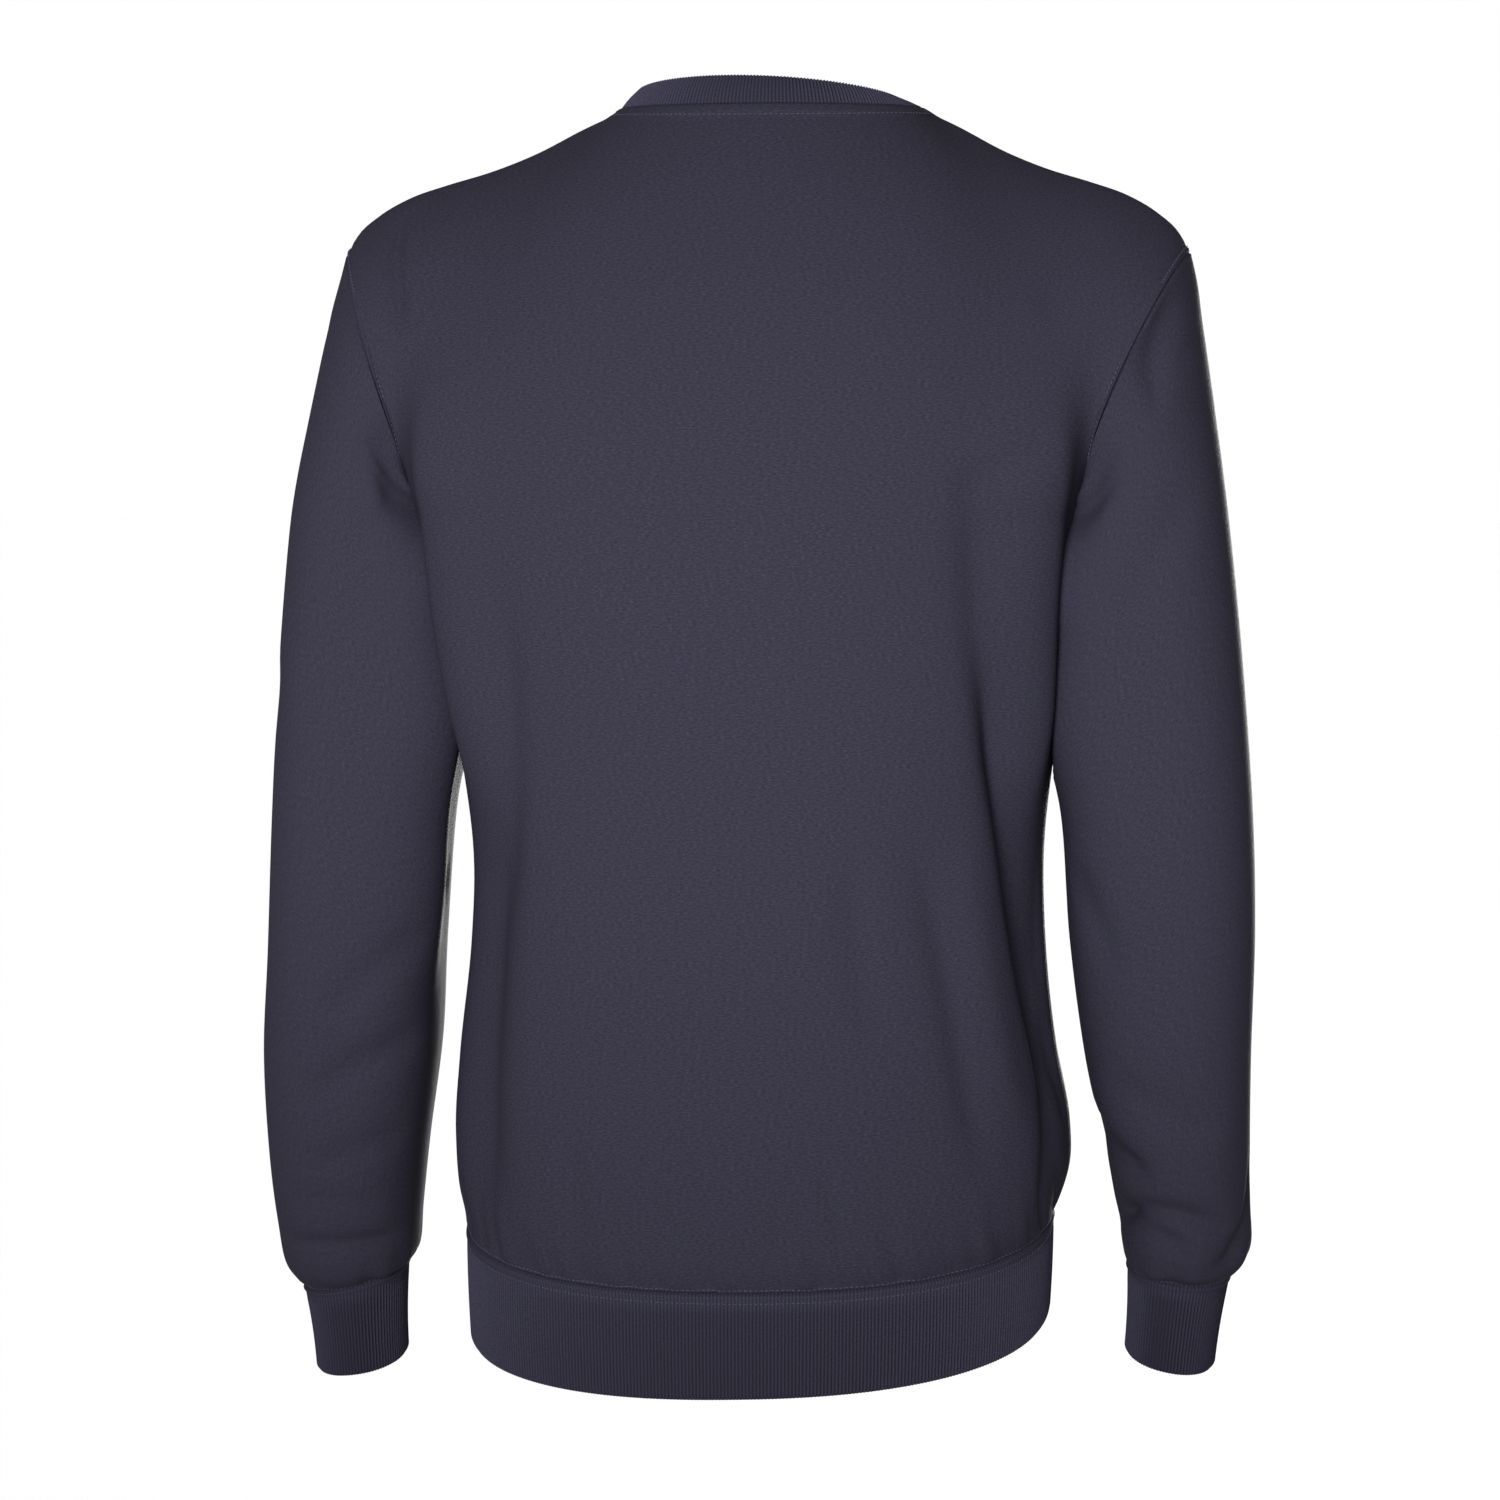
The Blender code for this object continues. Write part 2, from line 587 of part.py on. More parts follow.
def armhole_seams(back, front, arm, hand):
    """A sleeve's first ring, against the back as far as the shoulder and then the front."""
    column = 0 if hand == LEFT else PANEL_COLUMNS
    places = column_places(column, SIDE_ROWS, SIDE_ROWS + ARMHOLE_ROWS)
    by_back = row_places(0, range(ARMHOLE_ROWS + 1))
    by_front = row_places(0, [-step % SLEEVE_COLUMNS for step in range(ARMHOLE_ROWS + 1)])
    step_in = (0, hand)
    return [
        seam_of(edge(back, places, step_in), edge(arm, by_back, (1, 0))),
        seam_of(edge(front, places, step_in), edge(arm, by_front, (1, 0))),
    ]


def ring_seams(back, front, band, row, first, last, step_in):
    """A band's first ring, against the back from left to right and then the front."""
    count = last - first
    panel_places = row_places(row, range(first, last + 1))
    by_back = row_places(0, range(count + 1))
    by_front = row_places(0, [-step % (2 * count) for step in range(count + 1)])
    return [
        seam_of(edge(back, panel_places, step_in), edge(band, by_back, (1, 0))),
        seam_of(edge(front, panel_places, step_in), edge(band, by_front, (1, 0))),
    ]


def cuff_seam(arm, band):
    """A cuff's first ring against its sleeve's last."""
    columns = range(SLEEVE_COLUMNS)
    last = edge(arm, row_places(LAST_RING, columns), (-1, 0))
    first = edge(band, row_places(0, columns), (1, 0))
    return seam_of(last, first, closed=True)


# ------------------------------------------------------------------ walls

def split_columns(grid, times):
    """More columns round a band: straight between the seam's points, curved further on."""
    count = grid.shape[1]
    before = np.roll(grid, 1, axis=1)
    after = np.roll(grid, -1, axis=1)
    beyond = np.roll(grid, -2, axis=1)
    split = np.zeros((grid.shape[0], count * times, 3))
    for step in range(times):
        t = step / times
        straight = grid * (1 - t) + after * t
        curved = 0.5 * (2 * grid + (after - before) * t
                        + (2 * before - 5 * grid + 4 * after - beyond) * t ** 2
                        + (3 * grid - before - 3 * after + beyond) * t ** 3)
        split[:, step::times] = curved
        split[0, step::times] = straight[0]
    return split


def wall(cloth, split=1, rise=0.0):
    """The outer and inner skin of a piece, with a rib raised on every second outer column."""
    points = cloth.points + cloth.shift
    normals = cloth.normals
    if split > 1:
        points = split_columns(points, split)
        normals = split_columns(normals, split)
    raised = np.where(np.arange(points.shape[1]) % 2 == 1, rise, 0.0)[None, :, None]
    outer = points + normals * (cloth.thickness / 2.0 + raised)
    inner = points - normals * cloth.thickness / 2.0
    return outer, inner


def two_triangles(corners, spots):
    """Two triangles for four corners, cut along their shorter diagonal."""
    one, two, three, four = corners
    if np.linalg.norm(spots[one] - spots[three]) < np.linalg.norm(spots[two] - spots[four]):
        return [[one, two, three], [one, three, four]]
    return [[one, two, four], [two, three, four]]


def wall_faces(spots, rows, columns, closed):
    """Faces of both skins, cut alike, and of the rims that join them round the open edges."""
    sheet = rows * columns
    steps = columns if closed else columns - 1
    faces = []
    for row in range(rows - 1):
        for column in range(steps):
            following = (column + 1) % columns
            corners = [row * columns + column, row * columns + following,
                       (row + 1) * columns + following, (row + 1) * columns + column]
            triangles = two_triangles(corners, spots)
            faces += triangles
            faces += [[sheet + corner for corner in reversed(face)] for face in triangles]
    for row in (0, rows - 1):
        for column in range(steps):
            one = row * columns + column
            two = row * columns + (column + 1) % columns
            rim = [one, sheet + one, sheet + two, two]
            faces += two_triangles(rim if row == 0 else rim[::-1], spots)
    if not closed:
        for column in (0, columns - 1):
            for row in range(rows - 1):
                one = row * columns + column
                two = one + columns
                rim = [one, two, sheet + two, sheet + one]
                faces += two_triangles(rim if column == 0 else rim[::-1], spots)
    return faces


def add_wall(cloth, material, collection, split=1, rise=0.0):
    """Make the piece's object."""
    outer, inner = wall(cloth, split, rise)
    rows, columns = outer.shape[:2]
    spots = np.concatenate([outer.reshape(-1, 3), inner.reshape(-1, 3)])
    faces = wall_faces(spots, rows, columns, cloth.closed)
    if cloth.outwards < 0:
        faces = [face[::-1] for face in faces]
    mesh = bpy.data.meshes.new(cloth.name)
    mesh.from_pydata(spots.tolist(), [], faces)
    mesh.materials.append(material)
    mesh.shade_smooth()
    mesh.set_sharp_from_angle(angle=SHARP_ANGLE)
    piece = bpy.data.objects.new(cloth.name, mesh)
    collection.objects.link(piece)
    return piece


def knit(name, colour, roughness):
    """A plain material in the cloth's colour."""
    material = bpy.data.materials.new(name)
    material.use_nodes = True
    shader = material.node_tree.nodes["Principled BSDF"]
    shader.inputs["Base Color"].default_value = (*colour, 1.0)
    shader.inputs["Roughness"].default_value = roughness
    shader.inputs["Metallic"].default_value = 0.0
    return material


def main():
    for thing in list(bpy.data.objects):
        bpy.data.objects.remove(thing, do_unlink=True)
    collection = bpy.data.collections.new("sweatshirt")
    bpy.context.scene.collection.children.link(collection)

    back = body_panel("back", BACK, BACK_CREASES)
    front = body_panel("front", FRONT, FRONT_CREASES)
    top = SIDE_ROWS + ARMHOLE_ROWS
    neck_first = SHOULDER_COLUMNS
    neck_last = SHOULDER_COLUMNS + NECK_COLUMNS
    hem = hem_band(np.concatenate([back.points[0, :-1], front.points[0, :0:-1]]))
    neck = neckband()
    seams = body_seams(back, front)
    seams += ring_seams(back, front, hem, 0, 0, PANEL_COLUMNS, (1, 0))
    seams += ring_seams(back, front, neck, top, neck_first, neck_last, (-1, 0))
    sleeves = {}
    cuffs = {}
    for hand, label in ((LEFT, "left"), (RIGHT, "right")):
        column = 0 if hand == LEFT else PANEL_COLUMNS
        armhole = np.concatenate([
            back.points[SIDE_ROWS:, column],
            front.points[top - 1:SIDE_ROWS:-1, column],
        ])
        arm = sleeve("sleeve_" + label, hand, armhole, SLEEVE_CREASES[hand])
        band = cuff("cuff_" + label, hand, arm.points[-1])
        seams += armhole_seams(back, front, arm, hand)
        seams.append(cuff_seam(arm, band))
        sleeves[hand] = arm
        cuffs[hand] = band
    share_normals(seams)
    for ringed in (neck, hem, sleeves[LEFT], sleeves[RIGHT]):
        soften_ring(ringed, seams)
    for seam in seams:
        part_seam(seam)

    fleece = knit("brushed_fleece", (0.048, 0.045, 0.067), 0.9)
    rib = knit("rib_knit", (0.030, 0.027, 0.043), 0.9)
    for panel in (back, front, sleeves[LEFT], sleeves[RIGHT]):
        add_wall(panel, fleece, collection)
    add_wall(neck, rib, collection, NECKBAND_SPLIT, RIB_RISE)
    add_wall(hem, rib, collection, HEM_BAND_SPLIT, RIB_RISE)
    for band in cuffs.values():
        add_wall(band, rib, collection, CUFF_SPLIT, RIB_RISE)


main()
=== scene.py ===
# %% [markdown]
# # A knitted sweatshirt, dressed over its frame
# The frame holds eight solids: back, front, two sleeves, neckband, hem band and two cuffs.
# Each is one wall of cloth. Here each gets a finer wall of the same form, with creases, real
# ribs and sewn threads, so that the eye reads knitted cloth and not a moulded shell.

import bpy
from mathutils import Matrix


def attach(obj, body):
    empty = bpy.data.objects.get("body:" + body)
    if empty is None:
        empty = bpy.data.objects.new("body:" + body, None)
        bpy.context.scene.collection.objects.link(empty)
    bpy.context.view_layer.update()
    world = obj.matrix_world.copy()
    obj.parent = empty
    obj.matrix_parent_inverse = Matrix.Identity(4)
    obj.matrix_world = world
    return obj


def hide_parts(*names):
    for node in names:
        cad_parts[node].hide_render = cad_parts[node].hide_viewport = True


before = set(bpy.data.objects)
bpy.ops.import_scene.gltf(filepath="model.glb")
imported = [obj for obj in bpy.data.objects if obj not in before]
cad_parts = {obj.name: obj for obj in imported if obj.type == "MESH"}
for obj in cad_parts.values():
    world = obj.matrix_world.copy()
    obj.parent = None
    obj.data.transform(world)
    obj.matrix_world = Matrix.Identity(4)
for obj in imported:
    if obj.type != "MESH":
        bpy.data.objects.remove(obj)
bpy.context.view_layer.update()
print("solids in the frame:", sorted(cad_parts))

# %% Tools
import math

import bpy
import numpy as np
from mathutils import Vector

# %% [markdown]
# ## How fine the cloth is
# Knitted cloth bends in curves a few millimetres wide, so a grid with a point every 3 to 5 mm
# can follow its creases. A solid's grid has one about every 20 mm, and FINER multiplies its
# rows and columns. A subdivision modifier would be shorter to write, but it draws two pieces
# apart at a seam. Finer points from the same sizes keep every seam closed.

# %% Sizes of the cloth
FINER = 6

CLOTH = 0.0020
BAND_CLOTH = 0.0026

NECK_CENTRE = -0.0030
SHOULDER_CENTRE = 0.0012
HEM_BAND_HEIGHT = 0.0575
HEM_BAND_LEAN = 0.018
HEM_DRAWN_IN = 0.012
SIDE_CLEARANCE = 0.0034

SHOULDER_COLUMNS = 8 * FINER
NECK_COLUMNS = 16 * FINER
ARMHOLE_ROWS = 12 * FINER
SLEEVE_RINGS = 22 * FINER
PANEL_COLUMNS = 2 * SHOULDER_COLUMNS + NECK_COLUMNS
SLEEVE_COLUMNS = 2 * ARMHOLE_ROWS
BAND_ROWS = 10

BACK = 1
FRONT = -1
LEFT = 1
RIGHT = -1
print("columns across the back:", PANEL_COLUMNS)

# %% [markdown]
# ## Tables of the shape
# A pattern cutter writes a garment down as widths at given heights. These tables do the same:
# each row is one ring of the torso, one place on the shoulder seam, one ring of the neckband
# or one ring of a sleeve, in millimetres. The drops say how far the middle of the back and of
# the front hang below the sides. The lean is how steeply the left side hangs lower, and the
# fullness how square a ring is.

# %% Tables
PLAIN = ("ring", "fullness", "lean", "phase")


def table(names, *rows):
    """Named columns of numbers, turned to metres unless they are plain. The first is the key."""
    columns = {name: np.array(values, dtype=float) / (1.0 if name in PLAIN else 1000.0)
               for name, values in zip(names.split(), zip(*rows))}
    columns["key"] = columns[names.split()[0]]
    return columns



TORSO = table(
    "height centre half_width back front fullness back_drop front_drop lean",
    (-600, 3.4, 159.2, 113, 108, 2.3, 23.5, -4, 0.02),
    (-592, 1.8, 161.4, 117, 112, 2.32, 23, -4, 0.02),
    (-575, 1.2, 166, 120, 115, 2.35, 22, -4, 0.018),
    (-550, 2.2, 167.2, 119, 115, 2.38, 19, -3, 0.014),
    (-511, 4.8, 162.7, 115, 113, 2.38, 15, -2, 0.008),
    (-450, 5, 156.3, 110, 112, 2.38, 8, 0, 0.003),
    (-400, 4.8, 154.9, 109, 113, 2.38, 4, 0, 0),
    (-340, 5, 161, 112, 116, 2.4, 1, 0, 0),
    (-263, 9, 172.5, 117, 119, 2.5, 0, 0, 0),
    (-215, 8.5, 180, 119, 118, 2.6, 0, 0, 0),
)
SIDE_HEIGHTS = (-0.600, -0.592, -0.578, -0.556, -0.525, -0.488, -0.450,
                -0.410, -0.367, -0.325, -0.285, -0.247, -0.215)
SIDE_ROWS = (len(SIDE_HEIGHTS) - 1) * FINER

SHOULDER = table(
    "out height",
    (80.5, -0.5),
    (100, -9.5),
    (125, -22.5),
    (150, -32.5),
    (175, -40),
    (195, -47),
    (212, -57),
    (222, -66),
    (228.5, -76.5),
)
NECK = table(
    "ring half_width back front back_height side_height front_height lean",
    (0, 80.5, 58, 98, 0.5, -0.5, -86, 0),
    (1, 76.5, 55.2, 92.8, 8.5, 2, -76, 0.02),
    (2, 71.2, 51, 86, 15.5, 4.2, -66, 0.045),
)

# %% Tables of the two sleeves
ARM = "ring inner_out inner_height outer_out outer_height depth half_depth fullness"
SLEEVE = {
    LEFT: table(
        ARM,
        (0, 188.5, -215, 229.7, -76.5, 0, 70, 2.2),
        (1, 191.8, -219.7, 234.2, -94, -1, 69.2, 2.25),
        (2, 190, -228, 237.9, -113, -2, 68, 2.35),
        (4, 177, -248, 248.3, -162, -4, 66, 2.5),
        (6, 167, -279, 259.4, -222, -6, 63, 2.6),
        (8, 164, -324, 267.2, -295, -8, 60, 2.6),
        (10, 176.2, -378, 273.2, -378, -12, 58, 2.6),
        (12, 183, -451.5, 278.3, -452.5, -19, 55, 2.5),
        (14, 188, -513, 284.8, -514, -32, 51, 2.4),
        (16, 198, -570, 286.4, -572, -48, 47, 2.3),
        (18, 204.8, -612, 285.3, -615, -62, 43, 2.2),
        (20, 209, -637, 282, -643, -72, 38.5, 2.15),
        (21, 212.7, -642, 276.8, -652, -75, 34, 2.15),
        (22, 216.2, -644.1, 273.7, -657.5, -77, 30.5, 2.15),
    ),
    RIGHT: table(
        ARM,
        (0, 171.5, -215, 227.3, -76.5, 0, 70, 2.2),
        (1, 175.3, -219.7, 231.2, -94, -1.5, 69.2, 2.25),
        (2, 174, -228, 233.8, -113, -3, 68, 2.35),
        (4, 160, -248, 241, -162, -6, 66, 2.5),
        (6, 150, -279, 249, -222, -9, 63, 2.6),
        (8, 148.5, -324, 256.5, -295, -12, 60, 2.6),
        (10, 160.8, -378, 262.6, -378, -16, 58, 2.6),
        (12, 165.5, -446.3, 264.3, -444.8, -23, 55, 2.5),
        (14, 173.8, -513, 262.5, -513, -35, 51, 2.4),
        (16, 185.2, -568, 262, -568, -50, 47, 2.3),
        (18, 190.8, -605, 262.6, -605, -63, 43, 2.2),
        (20, 193.8, -629, 261.4, -629, -72.5, 38.5, 2.15),
        (21, 195, -633, 256.2, -637, -75.5, 34, 2.15),
        (22, 196.2, -635, 250.8, -642, -77.5, 30.5, 2.15),
    ),
}
CUFF_FULLNESS = 2.15
CUFF_HALF_DEPTH = 0.0280
CUFF_END = {
    LEFT: np.array([(0.2191, -0.0870, -0.7010), (0.2684, -0.0870, -0.7085)]),
    RIGHT: np.array([(-0.1946, -0.0870, -0.6875), (-0.2419, -0.0870, -0.6965)]),
}
print("sleeve rings:", SLEEVE_RINGS + 1)

# %% [markdown]
# ## Creases
# Soft cloth on a body folds where it is spare: down the small of the back, over the hem band
# and inside the elbows. A cloth simulation could find such folds, but never these folds, so
# they are listed one by one. Each is a line between two places with a bow, a width on either
# side and a depth, and its section is a soft bell curve, as a knit rounds over. A negative
# depth is a ridge, where the spare cloth beside a trough stands up.

# %% Tables of the creases
CREASES = "across_1 height_1 across_2 height_2 bow right left depth"
BACK_CREASES = table(
    CREASES,
    (-130, -170, -150, -400, 1, 22, 12, 5),
    (-140, -270, -204, -540, 8, 30, 11, 12),
    (-200, -470, -180, -612, -4, 40, 13, 6),
    (-174, -120, -184, -400, 0, 15, 32, -9),
    (-206, -440, -218, -590, 0, 12, 12, -2),
    (-124, -360, -168, -560, 6, 12, 12, -2.6),
    (122, -230, 140, -450, -3, 12, 18, 4),
    (150, -350, 160, -625, 2, 22, 30, 11),
    (172, -120, 164, -390, 0, 30, 15, -8.5),
    (-60, -385, -79, -505, 3, 10, 10, 2.4),
    (-94, -375, -137, -580, -4, 10, 10, 3.4),
    (-44, -550, -59, -603, 0, 6, 6, 1.6),
    (-20, -570, -30, -606, 1, 6, 6, 1.2),
    (40, -560, 34, -606, 0, 7, 7, 1.2),
    (92, -540, 84, -602, 1, 8, 8, 1.6),
    (226, -50, 196, -125, -2, 6, 6, 3.4),
    (-206, -60, -160, -120, 4, 12, 12, 1.8),
    (178, -165, 118, -196, 4, 10, 10, 1.4),
    (-176, -170, -112, -204, -4, 10, 10, 1.8),
)
FRONT_CREASES = table(
    CREASES,
    (120, -240, 150, -470, 8, 16, 16, 4.5),
    (146, -420, 168, -590, -4, 14, 14, 8),
    (172, -440, 196, -580, 2, 11, 11, -3),
    (-126, -240, -144, -430, -6, 16, 16, 5),
    (-140, -390, -162, -590, 6, 14, 14, 8.5),
    (-168, -430, -192, -580, -2, 11, 11, -3),
    (50, -430, 76, -580, 6, 11, 11, 3),
    (-28, -470, -42, -595, -4, 10, 10, 2.8),
    (158, -130, 104, -204, 8, 11, 11, 3.4),
    (-156, -126, -100, -200, -8, 11, 11, 3.4),
    (176, -176, 116, -226, 6, 10, 10, 2.2),
    (-172, -172, -112, -222, -6, 10, 10, 2.2),
    (12, -560, 6, -604, 0, 7, 7, 1.4),
    (-90, -550, -98, -602, 1, 7, 7, 1.6),
)
SLEEVE_CREASES = {
    LEFT: table(
        CREASES,
        (-52, -200, -58, -500, 0, 12, 26, -7),
        (-78, -150, -42, -285, 0, 20, 18, -10),
        (-58, -180, 14, -190, 4, 8, 8, 2),
        (-50, -205, 22, -250, 4, 10, 10, 1.8),
        (-20, -240, 34, -330, 4, 12, 12, 1.6),
        (-56, -440, 10, -500, 5, 10, 10, 3),
        (-56, -500, 24, -548, 4, 10, 10, 3.4),
        (-48, -560, 20, -586, 3, 8, 8, 2.2),
        (-46, -622, 44, -628, -3, 6, 6, 3.6),
        (-30, -606, 30, -604, 4, 6, 6, 1.6),
        (60, -290, 110, -420, 4, 12, 12, 2.8),
        (-80, -410, -150, -446, 4, 11, 11, 4),
        (-86, -470, -144, -500, 3, 10, 10, 3.6),
        (80, -600, 140, -622, 3, 7, 7, 2.6),
    ),
    RIGHT: table(
        CREASES,
        (-88, -150, -48, -290, 0, 22, 20, -11),
        (62, -88, 6, -166, -6, 9, 9, 4),
        (46, -190, -12, -290, -4, 12, 12, 1.8),
        (-56, -400, -20, -470, 3, 10, 10, 3),
        (-40, -520, 34, -556, 0, 12, 12, 3),
        (-74, -543, -6, -582, 0, 10, 7, 5.6),
        (-66, -612, 40, -618, 16, 7, 8, 6.2),
        (-58, -600, 12, -622, 1, 7, 7, 4.8),
        (70, -566, 4, -642, 12, 7, 8, 5.6),
        (-80, -410, -150, -450, 4, 11, 11, 4),
        (-86, -480, -144, -510, 3, 10, 10, 3.4),
        (80, -590, 140, -612, 3, 7, 7, 2.6),
    ),
}
print("creases on the back:", len(BACK_CREASES["key"]))

# %% [markdown]
# ## Curves through the tables
# Between two rows of a table the cloth is one smooth curve, so each value follows a cubic
# with the slope that its neighbours give. A torso's ring is fuller than an ellipse,
# because a body is: `rounded` pushes an ellipse out towards a box.

# %% Following a table
def follow(rows, column, where):
    """The named column at places in the table's first column, along a smooth curve."""
    keys = rows["key"]
    values = rows[column]
    slopes = np.gradient(values, keys)
    place = np.clip(np.searchsorted(keys, where) - 1, 0, len(keys) - 2)
    step = keys[place + 1] - keys[place]
    t = (where - keys[place]) / step
    start = values[place] * (1 + 2 * t) * (1 - t) ** 2 + slopes[place] * step * t * (1 - t) ** 2
    end = values[place + 1] * t * t * (3 - 2 * t) + slopes[place + 1] * step * t * t * (t - 1)
    return start + end


def read(rows, where):
    """Every column of a table at places in its first column."""
    return {name: follow(rows, name, where) for name in rows}


def smooth(t):
    """Zero up to 0, one from 1 on, and a soft slope between."""
    t = np.clip(t, 0.0, 1.0)
    return t * t * (3.0 - 2.0 * t)


def unit(vectors):
    """Vectors of length one."""
    return vectors / np.linalg.norm(vectors, axis=-1, keepdims=True)


# %% Even steps along a curve
CURVE_STEPS = 1440


def reach_along(points):
    """The distance from the start of a line to each of its points."""
    return np.concatenate([[0.0], np.cumsum(np.linalg.norm(np.diff(points, axis=0), axis=1))])


def at_distances(points, where):
    """Points at given distances along a line."""
    reach = reach_along(points)
    return np.stack([np.interp(where, reach, points[:, axis]) for axis in range(3)], axis=1)


def even(points, steps):
    """Points at even distances along a line."""
    return at_distances(points, np.linspace(0.0, reach_along(points)[-1], steps + 1))


def rounded(angles, fullness):
    """Cosine and sine of the angles, pushed out from an ellipse towards a box."""
    power = 2.0 / fullness
    cosine = np.sign(np.cos(angles)) * np.abs(np.cos(angles)) ** power
    sine = np.sign(np.sin(angles)) * np.abs(np.sin(angles)) ** power
    return cosine, sine


# %% Half rings of the torso and of the neck
def torso_half(height, side):
    """Half of the torso's ring at one height, from the left side seam to the right one."""
    value = read(TORSO, height)
    across, out = rounded(np.linspace(0.0, math.pi, CURVE_STEPS + 1), value["fullness"])
    depth = value["back"] if side == BACK else value["front"]
    drop = value["back_drop"] if side == BACK else value["front_drop"]
    ring = np.stack([
        value["centre"] + value["half_width"] * across,
        side * depth * out,
        height - drop * out - value["lean"] * value["half_width"] * across,
    ], axis=1)
    return even(ring, PANEL_COLUMNS)


def neck_half(ring, side, columns=NECK_COLUMNS):
    """Half of one ring round the neck, from its left side to its right side."""
    value = read(NECK, ring)
    angles = np.linspace(0.0, math.pi, CURVE_STEPS + 1)
    across = np.cos(angles)
    out = np.sin(angles)
    depth = value["back"] if side == BACK else value["front"]
    middle = value["back_height"] if side == BACK else value["front_height"]
    half = np.stack([
        NECK_CENTRE + value["half_width"] * across,
        side * depth * out,
        value["side_height"] + (middle - value["side_height"]) * out
        + value["lean"] * value["half_width"] * across,
    ], axis=1)
    return even(half, columns)


# %% The line of the shoulders
def shoulder_line(hand):
    """The shoulder seam on one side, from the armhole in to the neck."""
    outs = np.linspace(SHOULDER["out"][-1], SHOULDER["out"][0], CURVE_STEPS + 1)
    heights = follow(SHOULDER, "height", outs)
    near_neck = (outs[0] - outs) / (outs[0] - outs[-1])
    centre = SHOULDER_CENTRE + (NECK_CENTRE - SHOULDER_CENTRE) * near_neck
    line = np.stack([hand * outs + centre, 0.0 * outs, heights], axis=1)
    return even(line, SHOULDER_COLUMNS)


def top_line(side):
    """A panel's top edge: shoulder seam, neckline, shoulder seam."""
    left = shoulder_line(LEFT)
    right = shoulder_line(RIGHT)[::-1]
    return np.concatenate([left, neck_half(0, side)[1:-1], right])


print("shoulder seam:", round(reach_along(shoulder_line(LEFT))[-1] * 1000), "mm")

# %% [markdown]
# ## Grids of points
# Each piece of cloth is a grid of points half way through the cloth, with a direction out of
# the cloth at each. Pressing a crease in, raising a rib or laying a thread is then one step
# along that direction.

# %% Directions and distances on a grid
def normals_of(points, closed, outwards):
    """The direction out of the cloth at each point of a grid."""
    if closed:
        wrapped = np.concatenate([points[:, -1:], points, points[:, :1]], axis=1)
        across = np.gradient(wrapped, axis=1)[:, 1:-1]
    else:
        across = np.gradient(points, axis=1)
    along = np.gradient(points, axis=0)
    return unit(np.cross(across, along)) * outwards


def distance_across(points, middle):
    """Distance of each point along its row, from the column in the middle."""
    steps = np.linalg.norm(np.diff(points, axis=1), axis=2)
    reach = np.concatenate([np.zeros((len(points), 1)), np.cumsum(steps, axis=1)], axis=1)
    return reach - reach[:, middle:middle + 1]


def distance_up(points):
    """Distance of each point along its column, from the first row."""
    steps = np.linalg.norm(np.diff(points, axis=0), axis=2)
    return np.concatenate([np.zeros((1, points.shape[1])), np.cumsum(steps, axis=0)])


# %% Pressing creases in
CREASE_END = 0.3


def crease_depth(across, height, creases):
    """How far the creases draw each point of a grid inwards."""
    depth = np.zeros_like(height)
    for row in range(len(creases["key"])):
        crease = {name: creases[name][row] for name in CREASES.split()}
        run = np.array([crease["across_2"] - crease["across_1"],
                        crease["height_2"] - crease["height_1"]])
        length = math.hypot(*run)
        run = run / length
        off = np.stack([across - crease["across_1"], height - crease["height_1"]], axis=-1)
        along = off @ run / length
        aside = off @ np.array([-run[1], run[0]])
        aside = aside - crease["bow"] * 4.0 * along * (1.0 - along)
        ends = smooth(along / CREASE_END) * smooth((1.0 - along) / CREASE_END)
        reach = np.where(aside < 0.0, crease["right"], crease["left"])
        depth += crease["depth"] * ends * np.exp(-(aside / reach) ** 2)
    return depth


# %% One piece of cloth
EDGE_STEPS = 6.0


class Cloth:
    """One piece: its grid of points, the directions out of it, and any raised strip on it."""

    def __init__(self, name, points, closed, outwards, thickness=CLOTH):
        self.name = name
        self.points = points
        self.closed = closed
        self.outwards = outwards
        self.thickness = thickness
        self.strip = np.zeros(points.shape[:2])
        self.refresh()

    def refresh(self):
        self.normals = normals_of(self.points, self.closed, self.outwards)

    def crease(self, creases, across):
        """Press the creases in, fading to nothing at the open edges."""
        rows, columns = across.shape
        from_end = np.minimum(np.arange(rows), rows - 1 - np.arange(rows))
        keep = smooth(from_end / EDGE_STEPS)[:, None]
        if not self.closed:
            from_side = np.minimum(np.arange(columns), columns - 1 - np.arange(columns))
            keep = keep * smooth(from_side / EDGE_STEPS)[None, :]
        depth = crease_depth(across, self.points[..., 2], creases) * keep
        self.points = self.points - self.normals * depth[..., None]
        self.refresh()


# %% [markdown]
# ## Back and front
# The back and the front are flat cuts sewn at the sides and shoulders. Up to the underarm
# their rows are half rings of the torso. Above it, each column is one curve from the underarm
# ring over the chest or the shoulder blades to the shoulder seam or the neckline, and the
# armholes are the first and the last column.

# %% Handles of the upper curves
CHEST_REACH = 0.38
SHOULDER_REACH = 0.42
NECK_REACH = 0.30
SHOULDER_FALL = 0.25
NECK_FALL = {BACK: 1.5, FRONT: 2.7}
OUTWARD_FALL = 0.46
CORNER_TURN = math.radians(48.0)
CORNER_COLUMNS = 8 * FINER
ARMHOLE_START = (-0.003, 0.100, 0.030)
ARMHOLE_END = (-0.009, 0.072, -0.012)
ARMHOLE_BLEND = 10 * FINER

RELAX_ROUNDS = 90
RELAX_EDGE = 2 * FINER


